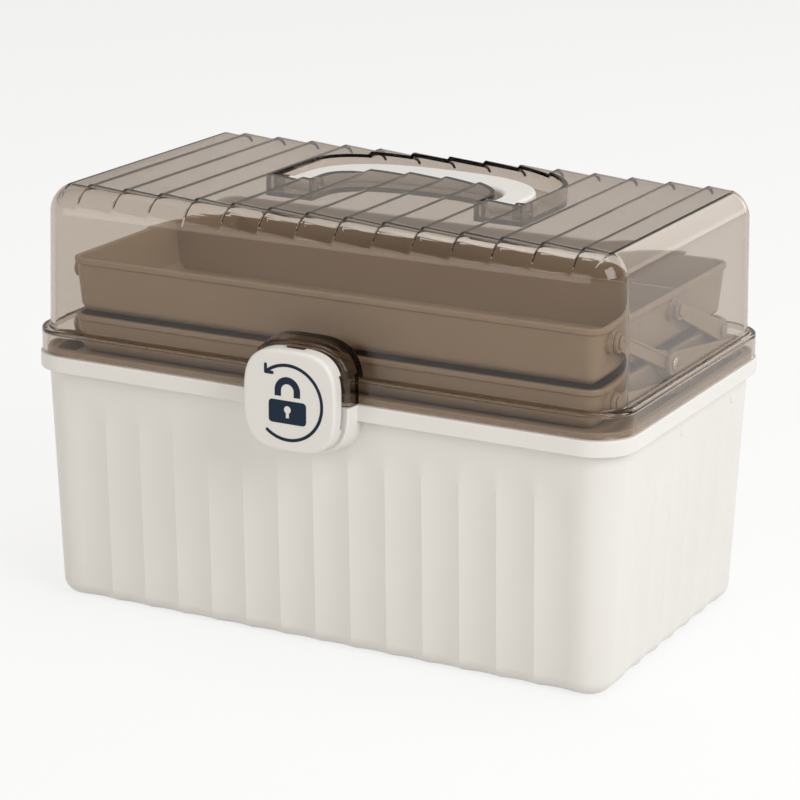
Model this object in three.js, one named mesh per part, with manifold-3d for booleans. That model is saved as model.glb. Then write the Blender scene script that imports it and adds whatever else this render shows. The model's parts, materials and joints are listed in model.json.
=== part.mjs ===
// A medicine lock box: a fluted tub, a clear lid with a folding handle, two trays on swinging
// arms, and a knob that turns to lock. Millimetres, +Z up, +X along the front, +Y to the hinge.
// The origin is the middle of the tub's underside.
import * as THREE from "three";
import { mergeVertices } from "three/addons/utils/BufferGeometryUtils.js";
import Module from "manifold-3d";

// Clearances shared by all pieces
const seatGap = 0.3;
const runGap = 0.6;
const overrun = 1;

// The tub's rim is the master outline, and other outlines are insets of it
const rim = { halfLength: 165, halfWidth: 95.9, corner: 22, top: 131.4, depth: 8.1, skirt: 2.2, plate: 2.4 };
const tub = { step: 4.5, draft: 5.1, wall: 2.5, floor: 3, footRound: 8, insideRound: 5 };
const flutes = { frontPitch: 20, endPitch: 20.5, endShift: 4.3, depth: 1.2, plainBand: 8, fade: 20 };
const dimple = { radius: 2.6, height: 0.7, belowRim: 17, spread: 66, shift: 26 };

// The ring that sits in the tub's mouth and carries the arms
const frame = {
  rimInset: 3.6,
  lip: 2.5,
  lipHeight: 2.7,
  shelf: 1.2,
  wall: 2,
  deckDrop: 1.1,
  deck: 2.5,
  openInset: 29,
  openSideInset: 21.9,
  openCorner: 10,
  channelDepth: 4.2,
  channelFloor: 2,
  channelIn: 3.4,
  channelFrontIn: 19.9,
  channelBackIn: 13.9,
};
const slots = { width: 6, frontIn: 47.5, pivotGap: 9, backGap: 11 };

// The two trays have one plan
const tray = {
  endGap: 18,
  sideGap: 15.9,
  corner: 9,
  draft: 3.6,
  wall: 1.8,
  floor: 2,
  bead: 0.8,
  beadHeight: 2.6,
  footRound: 3,
};
const lowerTray = { height: 20.2 };
const upperTray = { height: 28.2, above: 1.1, divider: 1.6, dividerY: 19, dividerDrop: 2 };

// The arms and their pivots, seen from the side as y and z
const swing = {
  middleShare: 0.0875,
  middleUp: 17.2,
  frontIn: 14.5,
  frontUp: 12,
  rearIn: 18.5,
  upperFrontIn: 16,
  upperRise: 23.7,
  frameRearIn: 1,
  lowerFall: 11.2,
};
const arm = { thick: 2, hub: 5, frameHub: 4.3, slim: 3.6, wide: 6, broad: 6.8, groove: 0.7, grooveRim: 1.2 };
const boss = { radius: 6, ring: 5.1, step: 1, proud: 1.5, root: 3 };
const lug = { radius: 5, web: 6, root: 1.8 };
const pivotPin = { radius: 1.6, head: 3.3, headThick: 1.2, dome: 0.5, bite: 4.2 };

// The clear lid
const lid = {
  skirtInset: 0.9,
  skirtHeight: 12.2,
  shoulderRound: 1,
  wallInset: 5.2,
  draft: 1.4,
  height: 86.1,
  edgeRound: 15,
  wall: 2.2,
  ceiling: 3.7,
};
const ribs = { pitch: 20.87, depth: 1.6, riser: 1.2 };
const recess = {
  sideGap: 6,
  backIn: 19.9,
  bowShare: 0.605,
  front: -7,
  depth: 11,
  floor: 2.2,
  islandGap: 2.5,
  islandIn: 45,
  islandBowShare: 0.935,
};

// The carrying handle, folded back in its recess
const handle = {
  halfWidth: 64.5,
  backIn: 19,
  bowShare: 0.825,
  leg: 14,
  innerIn: 40,
  innerBowShare: 0.861,
  thick: 8,
  round: 1.6,
  eye: 4.2,
  pin: 2,
  pinBite: 4,
};
const bracket = { radius: 4.4 };

// The hinge behind the rim
const hinge = { fromEnd: 65, radius: 4, clear: 0.6, rise: 1.2, lidHalf: 10, tubLength: 11, pin: 1.5 };

// The knob on its pad in front
const knob = {
  halfSize: 25.4,
  rise: 2,
  standOff: 1.2,
  depth: 8.8,
  wall: 2.2,
  face: 2.4,
  round: 2,
  notchDepth: 3.2,
  notchIn: 1.3,
  notchLow: -12.2,
  notchHigh: 14.5,
};
const hub = { radius: 11.5, shoulder: 4, head: 6.5, headThick: 1.7, reach: 3.5, stem: 1.8 };
const pad = { halfSize: 27.4, spread: 0.8, proud: 7.5, wall: 2.5, pocketDepth: 24, chamfer: 0.8 };
const tongue = { radius: 17, thick: 6.4 };
const keeper = {
  halfWidth: 4.5,
  reach: 4.4,
  height: 3,
  topClear: 2.5,
  play: 1.2,
  peg: 0.9,
  pegSpread: 5.4,
  pegDrop: 1.3,
};

// Numbers of steps round curves, and the powers of the rounded outlines
const cornerSteps = 5;
const filletSteps = 4;
const roundSteps = 24;
const smallSteps = 12;
const bowSteps = 18;
const hollowSteps = 4;
const padSteps = 36;
const bowPower = 2.6;
const padPower = 3.2;

// Heights and places that follow from the sizes
const rimUnder = rim.top - rim.depth;
const shelfUnder = rim.top + seatGap;
const shelfTop = shelfUnder + frame.shelf;
const lipTop = shelfUnder + frame.lipHeight;
const deckTop = rim.top - frame.deckDrop;
const channelTop = deckTop - frame.channelDepth;
const frameBottom = channelTop - frame.channelFloor;
const wallInset = tub.step + tub.wall;
const frameOuter = wallInset + seatGap;
const frameInner = frameOuter + frame.wall;

const lowerBottom = deckTop + seatGap;
const lowerTop = lowerBottom + lowerTray.height;
const upperBottom = lowerTop + upperTray.above;
const upperTop = upperBottom + upperTray.height;

const trayHalfLength = rim.halfLength - tray.endGap;
const trayHalfWidth = rim.halfWidth - tray.sideGap;
const trayPlan = { halfLength: trayHalfLength, halfWidth: trayHalfWidth, corner: tray.corner };
const mouthPlan = {
  halfLength: rim.halfLength - frame.openInset,
  halfWidth: rim.halfWidth - frame.openSideInset,
  corner: frame.openCorner,
};
const bossFace = trayHalfLength + boss.proud;
const innerArm = bossFace + seatGap;
const outerArm = innerArm + arm.thick + seatGap;
const bossRoot = trayHalfLength - boss.root;
const lugRoot = trayHalfLength - lug.root;
const channelWall = trayHalfLength - frame.channelIn;

const middle = { y: -trayHalfWidth * swing.middleShare, z: lowerBottom + swing.middleUp };
const lowerFront = { y: swing.frontIn - trayHalfWidth, z: lowerBottom + swing.frontUp };
const lowerRear = { y: trayHalfWidth - swing.rearIn, z: middle.z };
const upperFront = { y: swing.upperFrontIn - trayHalfWidth, z: middle.z + swing.upperRise };
const upperRear = { y: lowerRear.y + upperFront.y - middle.y, z: lowerRear.z + swing.upperRise };
const frameRear = { y: trayHalfWidth - swing.frameRearIn, z: middle.z - swing.lowerFall };
const frameFront = { y: frameRear.y + lowerFront.y - middle.y, z: lowerFront.z - swing.lowerFall };

const lidBottom = rim.top + seatGap + seatGap;
const shoulder = lidBottom + lid.skirtHeight;
const lidTop = lidBottom + lid.height;
const lidCeiling = lidTop - lid.ceiling;
const recessFloor = lidTop - recess.depth;
const recessBack = rim.halfWidth - recess.backIn;
const recessSide = handle.halfWidth + recess.sideGap;
const legInner = handle.halfWidth - handle.leg;
const islandSide = legInner - recess.islandGap;
const islandBack = recessBack - recess.islandIn;
const handleBack = recessBack - handle.backIn;
const handleInner = recessBack - handle.innerIn;
const eyeZ = recessFloor + handle.eye + runGap;
const pinNear = legInner - handle.pinBite;
const pinFar = handle.halfWidth + handle.pinBite;
const ribCount = 2 * Math.floor(rim.halfLength / ribs.pitch) + 1;

const hingeX = rim.halfLength - hinge.fromEnd;
const hingeY = rim.halfWidth + hinge.radius + hinge.clear;
const hingeZ = rim.top + hinge.rise;

const knobZ = rim.top + knob.rise;
const padFace = -rim.halfWidth - pad.proud;
const knobBack = padFace - knob.standOff;
const knobFront = knobBack - knob.depth;
const knobInside = knobFront + knob.face;
const keeperTop = knobZ + knob.halfSize - knob.wall - keeper.topClear;

const axisX = new THREE.Vector3(1, 0, 0);
const axisY = new THREE.Vector3(0, 1, 0);
const axisZ = new THREE.Vector3(0, 0, 1);

const wasm = await Module();
wasm.setup();

// Turns a closed geometry into a solid whose faces point out
function solidOf(geometry) {
  const bare = geometry.clone();
  bare.deleteAttribute("normal");
  bare.deleteAttribute("uv");
  const merged = mergeVertices(bare);
  const made = new wasm.Manifold(
    new wasm.Mesh({
      numProp: 3,
      vertProperties: merged.attributes.position.array,
      triVerts: new Uint32Array(merged.index.array),
    }),
  );
  return made;
}

const join = (first, ...others) => others.reduce((whole, other) => whole.add(other), first);
const cut = (first, ...others) => others.reduce((whole, other) => whole.subtract(other), first);

// Joins rings of equal length with quads. The first ring faces back along the path and the last
// one faces on, and a path that closes on itself has no caps.
function loft(rings, closes = false) {
  const count = rings[0].length;
  const points = rings.flat();
  const faces = [];
  const spans = closes ? rings.length : rings.length - 1;
  for (let i = 0; i < spans; i++) {
    const here = i * count;
    const next = ((i + 1) % rings.length) * count;
    for (let j = 0; j < count; j++) {
      const k = (j + 1) % count;
      faces.push(here + j, here + k, next + k, here + j, next + k, next + j);
    }
  }
  if (!closes) {
    const last = (rings.length - 1) * count;
    const centres = [rings[0], rings[rings.length - 1]].map((ring) =>
      ring.reduce((sum, p) => sum.add(p), new THREE.Vector3()).divideScalar(count),
    );
    const firstCentre = points.push(...centres) - centres.length;
    for (let j = 0; j < count; j++) {
      const k = (j + 1) % count;
      faces.push(firstCentre, k, j, firstCentre + 1, last + j, last + k);
    }
  }
  const geometry = new THREE.BufferGeometry().setFromPoints(points);
  geometry.setIndex(faces);
  return solidOf(geometry);
}

// A rounded rectangle at one height, anticlockwise from above. sideMarks gives each straight
// side's extra points, as places along it and the share of the dent that each takes.
function outline(plan, inset, z, sideMarks = () => [], dent = 0) {
  const length = plan.halfLength - inset;
  const width = plan.halfWidth - inset;
  const radius = plan.corner - inset;
  const points = [];
  for (let side = 0; side < 4; side++) {
    const start = (side * Math.PI) / 2;
    const centre = new THREE.Vector3(
      (side === 0 || side === 3 ? 1 : -1) * (length - radius),
      (side < 2 ? 1 : -1) * (width - radius),
      z,
    );
    for (let step = 0; step <= cornerSteps; step++) {
      const angle = start + ((step / cornerSteps) * Math.PI) / 2;
      points.push(new THREE.Vector3(Math.cos(angle), Math.sin(angle)).multiplyScalar(radius).add(centre));
    }
    const travel = new THREE.Vector3(-Math.cos(start), -Math.sin(start));
    const outward = new THREE.Vector3(-Math.sin(start), Math.cos(start));
    const reach = side % 2 === 0 ? width : length;
    for (const mark of sideMarks(side)) {
      const place = travel.clone().multiplyScalar(mark.at);
      points.push(place.addScaledVector(outward, reach - dent * mark.share).setZ(z));
    }
  }
  return points;
}

// The stations of a quarter turn from one height to another, as share pairs (sine, 1 - cosine)
function quarter(steps) {
  return Array.from({ length: steps + 1 }, (_, i) => {
    const angle = ((i / steps) * Math.PI) / 2;
    return { rise: Math.sin(angle), inset: 1 - Math.cos(angle) };
  });
}

// Boxes and rods from their limits
function block(xLow, xHigh, yLow, yHigh, zLow, zHigh) {
  const box = new THREE.BoxGeometry(xHigh - xLow, yHigh - yLow, zHigh - zLow);
  box.translate((xLow + xHigh) / 2, (yLow + yHigh) / 2, (zLow + zHigh) / 2);
  return solidOf(box);
}

function rodX(radius, xLow, xHigh, y, z, steps = roundSteps) {
  const rod = new THREE.CylinderGeometry(radius, radius, xHigh - xLow, steps);
  rod.rotateZ(Math.PI / 2).translate((xLow + xHigh) / 2, y, z);
  return solidOf(rod);
}

function rodY(radius, yLow, yHigh, x, z, steps = roundSteps) {
  const rod = new THREE.CylinderGeometry(radius, radius, yHigh - yLow, steps);
  rod.translate(x, (yLow + yHigh) / 2, z);
  return solidOf(rod);
}

// Limits on one side of the middle plane, in rising order
const mirrored = (side, near, far) => (side > 0 ? [near, far] : [-far, -near]);

// A flat shape given as y and z, made thick along X
function plateX(shape, xLow, xHigh) {
  const plate = new THREE.ExtrudeGeometry(shape, {
    depth: xHigh - xLow,
    bevelEnabled: false,
    curveSegments: smallSteps,
  });
  const turned = new THREE.Matrix4().makeBasis(axisY, axisZ, axisX);
  plate.applyMatrix4(turned).translate(xLow, 0, 0);
  return solidOf(plate);
}

function plateZ(shape, zLow, zHigh, round = 0) {
  const plate = new THREE.ExtrudeGeometry(shape, {
    depth: zHigh - zLow - 2 * round,
    bevelEnabled: round > 0,
    bevelThickness: round,
    bevelSize: round,
    bevelOffset: -round,
    bevelSegments: 2,
  });
  plate.translate(0, 0, zLow + round);
  return solidOf(plate);
}

// A round piece about a line along X, from [distance along X, radius] pairs that start and end
// on the line
function turnedX(profile, side, y, z) {
  const points = profile.map(([x, radius]) => new THREE.Vector2(radius, x));
  const turned = new THREE.LatheGeometry(points, smallSteps);
  turned.rotateZ(-Math.PI / 2);
  if (side < 0) turned.rotateZ(Math.PI);
  turned.translate(0, y, z);
  return solidOf(turned);
}

// Half of a rounded bow, from its right end over the back to its left end
function bow({ halfWidth, back, depth }) {
  return Array.from({ length: bowSteps + 1 }, (_, i) => {
    const angle = (i / bowSteps) * Math.PI;
    const across = Math.cos(angle);
    const along = Math.sin(angle);
    return new THREE.Vector2(
      Math.sign(across) * halfWidth * Math.abs(across) ** (2 / bowPower),
      back - depth + depth * along ** (2 / bowPower),
    );
  });
}

// A U-shaped outline: an outer bow and an inner bow, with legs that come forward to one line
function bail(outer, inner, front) {
  const outside = bow(outer);
  const inside = bow(inner).reverse();
  return new THREE.Shape([
    new THREE.Vector2(outer.halfWidth, front),
    ...outside,
    new THREE.Vector2(-outer.halfWidth, front),
    new THREE.Vector2(-inner.halfWidth, front),
    ...inside,
    new THREE.Vector2(inner.halfWidth, front),
  ]);
}

// A rounded square about the knob's axis, anticlockwise from the front
function roundedSquare(halfSize, y) {
  return Array.from({ length: padSteps }, (_, i) => {
    const angle = (i / padSteps) * 2 * Math.PI;
    const x = Math.cos(angle);
    const z = Math.sin(angle);
    const reach = (Math.abs(x) ** padPower + Math.abs(z) ** padPower) ** (-1 / padPower);
    return new THREE.Vector3(x * reach * halfSize, y, knobZ + z * reach * halfSize);
  });
}

const colours = {
  white: { color: 0xe9e6e1, roughness: 0.45, metalness: 0 },
  taupe: { color: 0xa8967f, roughness: 0.4, metalness: 0 },
  clear: { color: 0xb9ada1, roughness: 0.08, metalness: 0, transparent: true, opacity: 0.35 },
  steel: { color: 0xb8b8b8, roughness: 0.3, metalness: 1 },
};

const box = new THREE.Group();

function add(name, solid, colour) {
  const { vertProperties, triVerts } = solid.getMesh();
  const geometry = new THREE.BufferGeometry();
  geometry.setAttribute("position", new THREE.BufferAttribute(vertProperties, 3));
  geometry.setIndex(new THREE.BufferAttribute(triVerts, 1));
  geometry.computeVertexNormals();
  const mesh = new THREE.Mesh(geometry, new THREE.MeshStandardMaterial(colours[colour]));
  mesh.name = name;
  box.add(mesh);
}

const sides = [
  { name: "left", sign: -1 },
  { name: "right", sign: 1 },
];

// The pad behind the knob, from inside the wall to its face, grown or shrunk by an offset
function padBlock(offset, yBack, yFront) {
  const slope = (y) => (pad.spread * (y - padFace)) / pad.proud;
  return loft([
    roundedSquare(pad.halfSize + offset + slope(yBack), yBack),
    roundedSquare(pad.halfSize + offset + slope(yFront + pad.chamfer), yFront + pad.chamfer),
    roundedSquare(pad.halfSize + offset - pad.chamfer, yFront),
  ]);
}

// The tub. Each flute is a hollow between two sharp crests, and the corners are plain.
function fluteMarks(side) {
  const alongFront = side % 2 === 0;
  const pitch = alongFront ? flutes.frontPitch : flutes.endPitch;
  const half = alongFront ? rim.halfLength : rim.halfWidth;
  const forward = side === 3 ? 1 : -1;
  const shift = alongFront ? 0 : forward * flutes.endShift;
  const limit = half - rim.corner;
  const marks = [];
  for (let i = -Math.ceil(half / pitch); i * pitch < half; i++) {
    const crest = i * pitch + shift;
    if (Math.abs(crest) > limit) continue;
    marks.push({ at: crest, share: 0 });
    if (crest + pitch > limit) continue;
    for (let step = 1; step < hollowSteps; step++) {
      const t = step / hollowSteps;
      marks.push({ at: crest + t * pitch, share: 4 * t * (1 - t) });
    }
  }
  return marks;
}

function makeTub() {
  const foot = tub.step + tub.draft;
  const bodyInset = (z) => tub.step + (tub.draft * (rimUnder - z)) / rimUnder;
  const fadeTop = rimUnder - flutes.plainBand;
  const fadeLow = fadeTop - flutes.fade;
  const ring = (z, dent, extra = 0) => outline(rim, bodyInset(z) + extra, z, fluteMarks, dent);
  const footRings = quarter(filletSteps).map(({ rise, inset }) =>
    ring(tub.footRound * inset, flutes.depth, tub.footRound * (1 - rise)),
  );
  const body = loft([...footRings, ring(fadeLow, flutes.depth), ring(fadeTop, 0), ring(rim.top, 0)]);
  const band = loft([outline(rim, 0, rimUnder), outline(rim, 0, rim.top)]);
  const groove = loft(
    [
      outline(rim, rim.skirt, rimUnder - overrun),
      outline(rim, rim.skirt, rim.top - rim.plate),
      outline(rim, tub.step + seatGap, rim.top - rim.plate),
      outline(rim, tub.step + seatGap, rimUnder - overrun),
    ],
    true,
  );
  const hollow = loft([
    outline(rim, foot + tub.wall + tub.insideRound, tub.floor),
    outline(rim, foot + tub.wall, tub.floor + tub.insideRound),
    outline(rim, wallInset, rimUnder),
    outline(rim, wallInset, rim.top + overrun),
  ]);
  const above = (z) => block(-rim.halfLength, rim.halfLength, -rim.halfLength, 0, z, rim.top + rim.top);
  const padSolid = cut(padBlock(0, -rim.halfWidth + wallInset, padFace), above(rim.top));
  const pocketBlock = padBlock(-pad.wall, -rim.halfWidth + pad.pocketDepth, padFace + pad.wall);
  const pocket = cut(pocketBlock, above(rimUnder - overrun));
  const tongueBack = padFace + tongue.thick;
  const tongueDisc = rodY(tongue.radius, padFace, tongueBack, 0, knobZ);
  const stemBore = hub.stem + seatGap;
  const stemHole = rodY(stemBore, padFace - overrun, tongueBack + overrun, 0, knobZ, smallSteps);
  const knuckles = sides.flatMap(({ sign }) => [-1, 1].map((end) => tubKnuckle(sign * hingeX, end)));
  const dimples = sides.flatMap(({ sign }) =>
    [-1, 1].map((end) => {
      const dome = new THREE.SphereGeometry(dimple.radius, smallSteps, filletSteps);
      dome.scale(dimple.height / dimple.radius, 1, 1);
      const z = rim.top - dimple.belowRim;
      const x = rim.halfLength - bodyInset(z);
      dome.translate(sign * x, dimple.shift + (end * dimple.spread) / 2, z);
      return solidOf(dome);
    }),
  );
  const shell = cut(join(body, cut(band, groove), padSolid), hollow, pocket);
  add("base_tub", cut(join(shell, tongueDisc, ...knuckles, ...dimples), stemHole, ...hingeBores()), "white");
}

// Hinge knuckles and their pins
const knuckleEnd = hinge.lidHalf + hinge.tubLength + runGap;

function hingeBores() {
  const bore = hinge.pin + seatGap;
  const reach = knuckleEnd + overrun;
  return sides.map(({ sign }) => {
    const x = sign * hingeX;
    return rodX(bore, x - reach, x + reach, hingeY, hingeZ, smallSteps);
  });
}

function tubKnuckle(x, end) {
  const near = hinge.lidHalf + runGap;
  const [low, high] = end > 0 ? [x + near, x + knuckleEnd] : [x - knuckleEnd, x - near];
  const web = block(low, high, rim.halfWidth - overrun, hingeY, hingeZ - hinge.radius, rim.top - seatGap);
  return join(rodX(hinge.radius, low, high, hingeY, hingeZ), web);
}

function lidKnuckle(x) {
  const low = x - hinge.lidHalf;
  const high = x + hinge.lidHalf;
  const skirtBack = rim.halfWidth - lid.skirtInset;
  const web = block(low, high, skirtBack - overrun, hingeY, lidBottom, hingeZ + hinge.radius);
  return join(rodX(hinge.radius, low, high, hingeY, hingeZ), web);
}

// The ring with the arms' lugs
function frameLug(sign, pivot, face) {
  const [low, high] = mirrored(sign, lugRoot, face);
  const web = block(low, high, pivot.y - lug.web / 2, pivot.y + lug.web / 2, frameBottom, pivot.z);
  return join(rodX(lug.radius, low, high, pivot.y, pivot.z), web);
}

function makeFrame() {
  const inside = (low, high) => loft([outline(rim, frameInner, low), outline(rim, frameInner, high)]);
  const wall = loft([outline(rim, frameOuter, frameBottom), outline(rim, frameOuter, shelfTop)]);
  const shelf = loft([outline(rim, frame.rimInset, shelfUnder), outline(rim, frame.rimInset, lipTop)]);
  const lipInset = frame.rimInset + frame.lip;
  const aboveShelf = loft([outline(rim, lipInset, shelfTop), outline(rim, lipInset, lipTop + overrun)]);
  const mouth = loft([
    outline(mouthPlan, 0, frameBottom - overrun),
    outline(mouthPlan, 0, lipTop + overrun),
  ]);
  const underDeck = inside(frameBottom - overrun, deckTop - frame.deck).intersect(
    block(-channelWall, channelWall, -rim.halfWidth, rim.halfWidth, frameBottom - overrun, deckTop),
  );
  const cutters = [inside(deckTop, lipTop + overrun), mouth, underDeck, aboveShelf];
  for (const { sign } of sides) {
    const [low, high] = mirrored(sign, channelWall + frame.wall, rim.halfLength);
    const channelFront = frame.channelFrontIn - rim.halfWidth;
    const channelBack = rim.halfWidth - frame.channelBackIn;
    const channel = block(low, high, channelFront, channelBack, channelTop, lipTop);
    cutters.push(channel.intersect(inside(channelTop, lipTop)));
    const slotNear = channelWall + frame.wall + overrun;
    const [slotLow, slotHigh] = mirrored(sign, slotNear, slotNear + slots.width);
    for (const [start, end] of [
      [lowerFront.y + slots.frontIn, frameFront.y - slots.pivotGap],
      [frameFront.y + slots.backGap, frameRear.y - slots.backGap],
    ]) {
      cutters.push(block(slotLow, slotHigh, start, end, frameBottom - overrun, channelTop + overrun));
    }
  }
  let ring = cut(join(wall, shelf), ...cutters);
  for (const { sign } of sides) {
    const [boreLow, boreHigh] = mirrored(sign, outerPinEnd(bossFace), outerArm);
    const [farLow, farHigh] = mirrored(sign, outerPinEnd(innerArm + arm.thick), outerArm);
    ring = join(ring, frameLug(sign, frameFront, bossFace), frameLug(sign, frameRear, innerArm + arm.thick));
    ring = cut(
      ring,
      rodX(pivotPin.radius + seatGap, boreLow, boreHigh, frameFront.y, frameFront.z, smallSteps),
      rodX(pivotPin.radius + seatGap, farLow, farHigh, frameRear.y, frameRear.z, smallSteps),
    );
  }
  add("tier_frame", ring, "taupe");
}

// How deep a pivot pin's bore reaches behind the face it sits on
const outerPinEnd = (face) => face - pivotPin.bite - seatGap;

// The trays
function trayBoss(sign, pivot) {
  const [low, high] = mirrored(sign, bossRoot, bossFace);
  const [ringLow, ringHigh] = mirrored(sign, bossRoot, bossFace - boss.step);
  return join(
    rodX(boss.ring, low, high, pivot.y, pivot.z),
    rodX(boss.radius, ringLow, ringHigh, pivot.y, pivot.z),
  );
}

function makeTray(name, bottom, height, pivots, dividers) {
  const top = bottom + height;
  const inset = (z) => tray.bead + ((tray.draft - tray.bead) * (top - z)) / height;
  const beadLow = top - tray.beadHeight;
  const outside = loft([
    outline(trayPlan, tray.draft + tray.footRound, bottom),
    outline(trayPlan, inset(bottom + tray.footRound), bottom + tray.footRound),
    outline(trayPlan, inset(beadLow - tray.bead), beadLow - tray.bead),
    outline(trayPlan, 0, beadLow),
    outline(trayPlan, 0, top),
  ]);
  const inside = loft([
    outline(trayPlan, tray.draft + tray.wall + tray.footRound, bottom + tray.floor),
    outline(trayPlan, inset(bottom) + tray.wall, bottom + tray.floor + tray.footRound),
    outline(trayPlan, inset(top) + tray.wall, top),
    outline(trayPlan, inset(top) + tray.wall, top + overrun),
  ]);
  let whole = join(cut(outside, inside), ...dividers.map((wall) => wall.intersect(outside)));
  for (const { sign } of sides) {
    for (const pivot of pivots) {
      const [low, high] = mirrored(sign, outerPinEnd(bossFace), outerArm);
      whole = join(whole, trayBoss(sign, pivot));
      whole = cut(whole, rodX(pivotPin.radius + seatGap, low, high, pivot.y, pivot.z, smallSteps));
    }
  }
  add(name, whole, "taupe");
}

// The arms, each a plate with a round end at either pivot
function armShape(from, to, fromRadius, toRadius, fromHalf, toHalf) {
  const along = new THREE.Vector2(to.y - from.y, to.z - from.z).normalize();
  const angle = along.angle();
  const shape = new THREE.Shape();
  const swingFrom = Math.asin(fromHalf / fromRadius);
  const swingTo = Math.asin(toHalf / toRadius);
  shape.absarc(from.y, from.z, fromRadius, angle + swingFrom, angle - swingFrom + 2 * Math.PI, false);
  shape.absarc(to.y, to.z, toRadius, angle + Math.PI + swingTo, angle + 3 * Math.PI - swingTo, false);
  for (const end of [from, to]) {
    const hole = new THREE.Path();
    hole.absarc(end.y, end.z, pivotPin.radius + seatGap, 0, 2 * Math.PI, false);
    shape.holes.push(hole);
  }
  return shape;
}

function makeArm(name, sign, shape, layer, grooveShape) {
  const [low, high] = mirrored(sign, layer, layer + arm.thick);
  let plate = plateX(shape, low, high);
  if (grooveShape) {
    const face = layer + arm.thick;
    const [grooveLow, grooveHigh] = mirrored(sign, face - arm.groove, face + overrun);
    plate = cut(plate, plateX(grooveShape, grooveLow, grooveHigh));
  }
  add(name, plate, "taupe");
}

// The sunk panel between the two hubs of a narrow arm
function grooveBetween(from, to, half) {
  const along = new THREE.Vector2(to.y - from.y, to.z - from.z).normalize();
  const across = new THREE.Vector2(-along.y, along.x);
  const start = new THREE.Vector2(from.y, from.z).addScaledVector(along, arm.hub);
  const end = new THREE.Vector2(to.y, to.z).addScaledVector(along, -arm.hub);
  const corner = (point, sign) => point.clone().addScaledVector(across, sign * half);
  return new THREE.Shape([corner(start, -1), corner(end, -1), corner(end, 1), corner(start, 1)]);
}

function makeArms() {
  const upperFrontShape = armShape(upperFront, middle, arm.hub, arm.hub, arm.slim, arm.slim);
  const upperRearShape = armShape(upperRear, lowerRear, arm.hub, arm.broad, arm.slim, arm.hub);
  const lowerFrontShape = armShape(lowerFront, frameFront, arm.hub, arm.frameHub, arm.slim, arm.slim);
  const lowerRearShape = armShape(middle, frameRear, arm.wide, arm.frameHub, arm.wide, arm.frameHub);
  const groove = grooveBetween(upperFront, middle, arm.slim - arm.grooveRim);
  for (const { name, sign } of sides) {
    makeArm(`upper_front_arm_${name}`, sign, upperFrontShape, innerArm, groove);
    makeArm(`upper_rear_arm_${name}`, sign, upperRearShape, innerArm);
    makeArm(`lower_front_arm_${name}`, sign, lowerFrontShape, innerArm);
    makeArm(`lower_rear_arm_${name}`, sign, lowerRearShape, outerArm);
  }
}

// A headed pin through the arms at one pivot
function makePivotPin(name, sign, pivot, seat, lastFace) {
  const head = lastFace + seatGap;
  const profile = [
    [seat - pivotPin.bite, 0],
    [seat - pivotPin.bite, pivotPin.radius],
    [head, pivotPin.radius],
    [head, pivotPin.head],
    [head + pivotPin.headThick - pivotPin.dome, pivotPin.head],
    [head + pivotPin.headThick, pivotPin.head - pivotPin.dome],
    [head + pivotPin.headThick, 0],
  ];
  add(name, turnedX(profile, sign, pivot.y, pivot.z), "taupe");
}

function makePivotPins() {
  const innerFace = innerArm + arm.thick;
  const outerFace = outerArm + arm.thick;
  for (const { name, sign } of sides) {
    makePivotPin(`upper_front_pin_${name}`, sign, upperFront, bossFace, innerFace);
    makePivotPin(`upper_rear_pin_${name}`, sign, upperRear, bossFace, innerFace);
    makePivotPin(`middle_pin_${name}`, sign, middle, bossFace, outerFace);
    makePivotPin(`lower_front_pin_${name}`, sign, lowerFront, bossFace, innerFace);
    makePivotPin(`lower_rear_pin_${name}`, sign, lowerRear, bossFace, innerFace);
    makePivotPin(`frame_front_pin_${name}`, sign, frameFront, bossFace, innerFace);
    makePivotPin(`frame_rear_pin_${name}`, sign, frameRear, innerFace, outerFace);
  }
}

// The lid. Its ribs run from front to back and fade out down its rounded edges, so its section at
// each x is that of a tunnel whose roof is dented and whose sides are clear of the lid.
function ribRing(x, dent) {
  const centre = rim.halfWidth - lid.wallInset - lid.draft - lid.edgeRound;
  const level = lidTop - lid.edgeRound;
  const far = rim.halfWidth + pad.proud + overrun;
  const at = (y, z) => new THREE.Vector3(x, y, z);
  const back = quarter(cornerSteps).map(({ rise, inset }) => {
    const across = 1 - inset;
    const reach = lid.edgeRound + seatGap * across - dent * rise;
    return at(centre + reach * across, level + reach * rise);
  });
  const front = back.map(({ y, z }) => at(-y, z)).reverse();
  const foot = [at(-far, lidBottom - overrun), at(far, lidBottom - overrun)];
  return [...foot, at(far, level), ...back, ...front, at(-far, level)];
}

function ribTunnel() {
  const start = (-ribCount * ribs.pitch) / 2;
  const rings = [ribRing(-rim.halfLength - overrun, 0)];
  for (let i = 0; i < ribCount; i++) {
    const crest = start + i * ribs.pitch;
    rings.push(ribRing(crest, 0), ribRing(crest + ribs.pitch - ribs.riser, ribs.depth));
  }
  return loft([...rings, ribRing(-start, 0), ribRing(rim.halfLength + overrun, 0)]);
}

function recessShape(grow) {
  return bail(
    { halfWidth: recessSide + grow, back: recessBack + grow, depth: recessBack * recess.bowShare + grow },
    {
      halfWidth: islandSide - grow,
      back: islandBack - grow,
      depth: islandBack * recess.islandBowShare - grow,
    },
    recess.front - grow,
  );
}

function handleBracket(sign, near, far) {
  const [low, high] = mirrored(sign, near, far);
  const post = block(low, high, -bracket.radius, bracket.radius, recessFloor - recess.floor / 2, eyeZ);
  return join(rodX(bracket.radius, low, high, 0, eyeZ), post);
}

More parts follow.
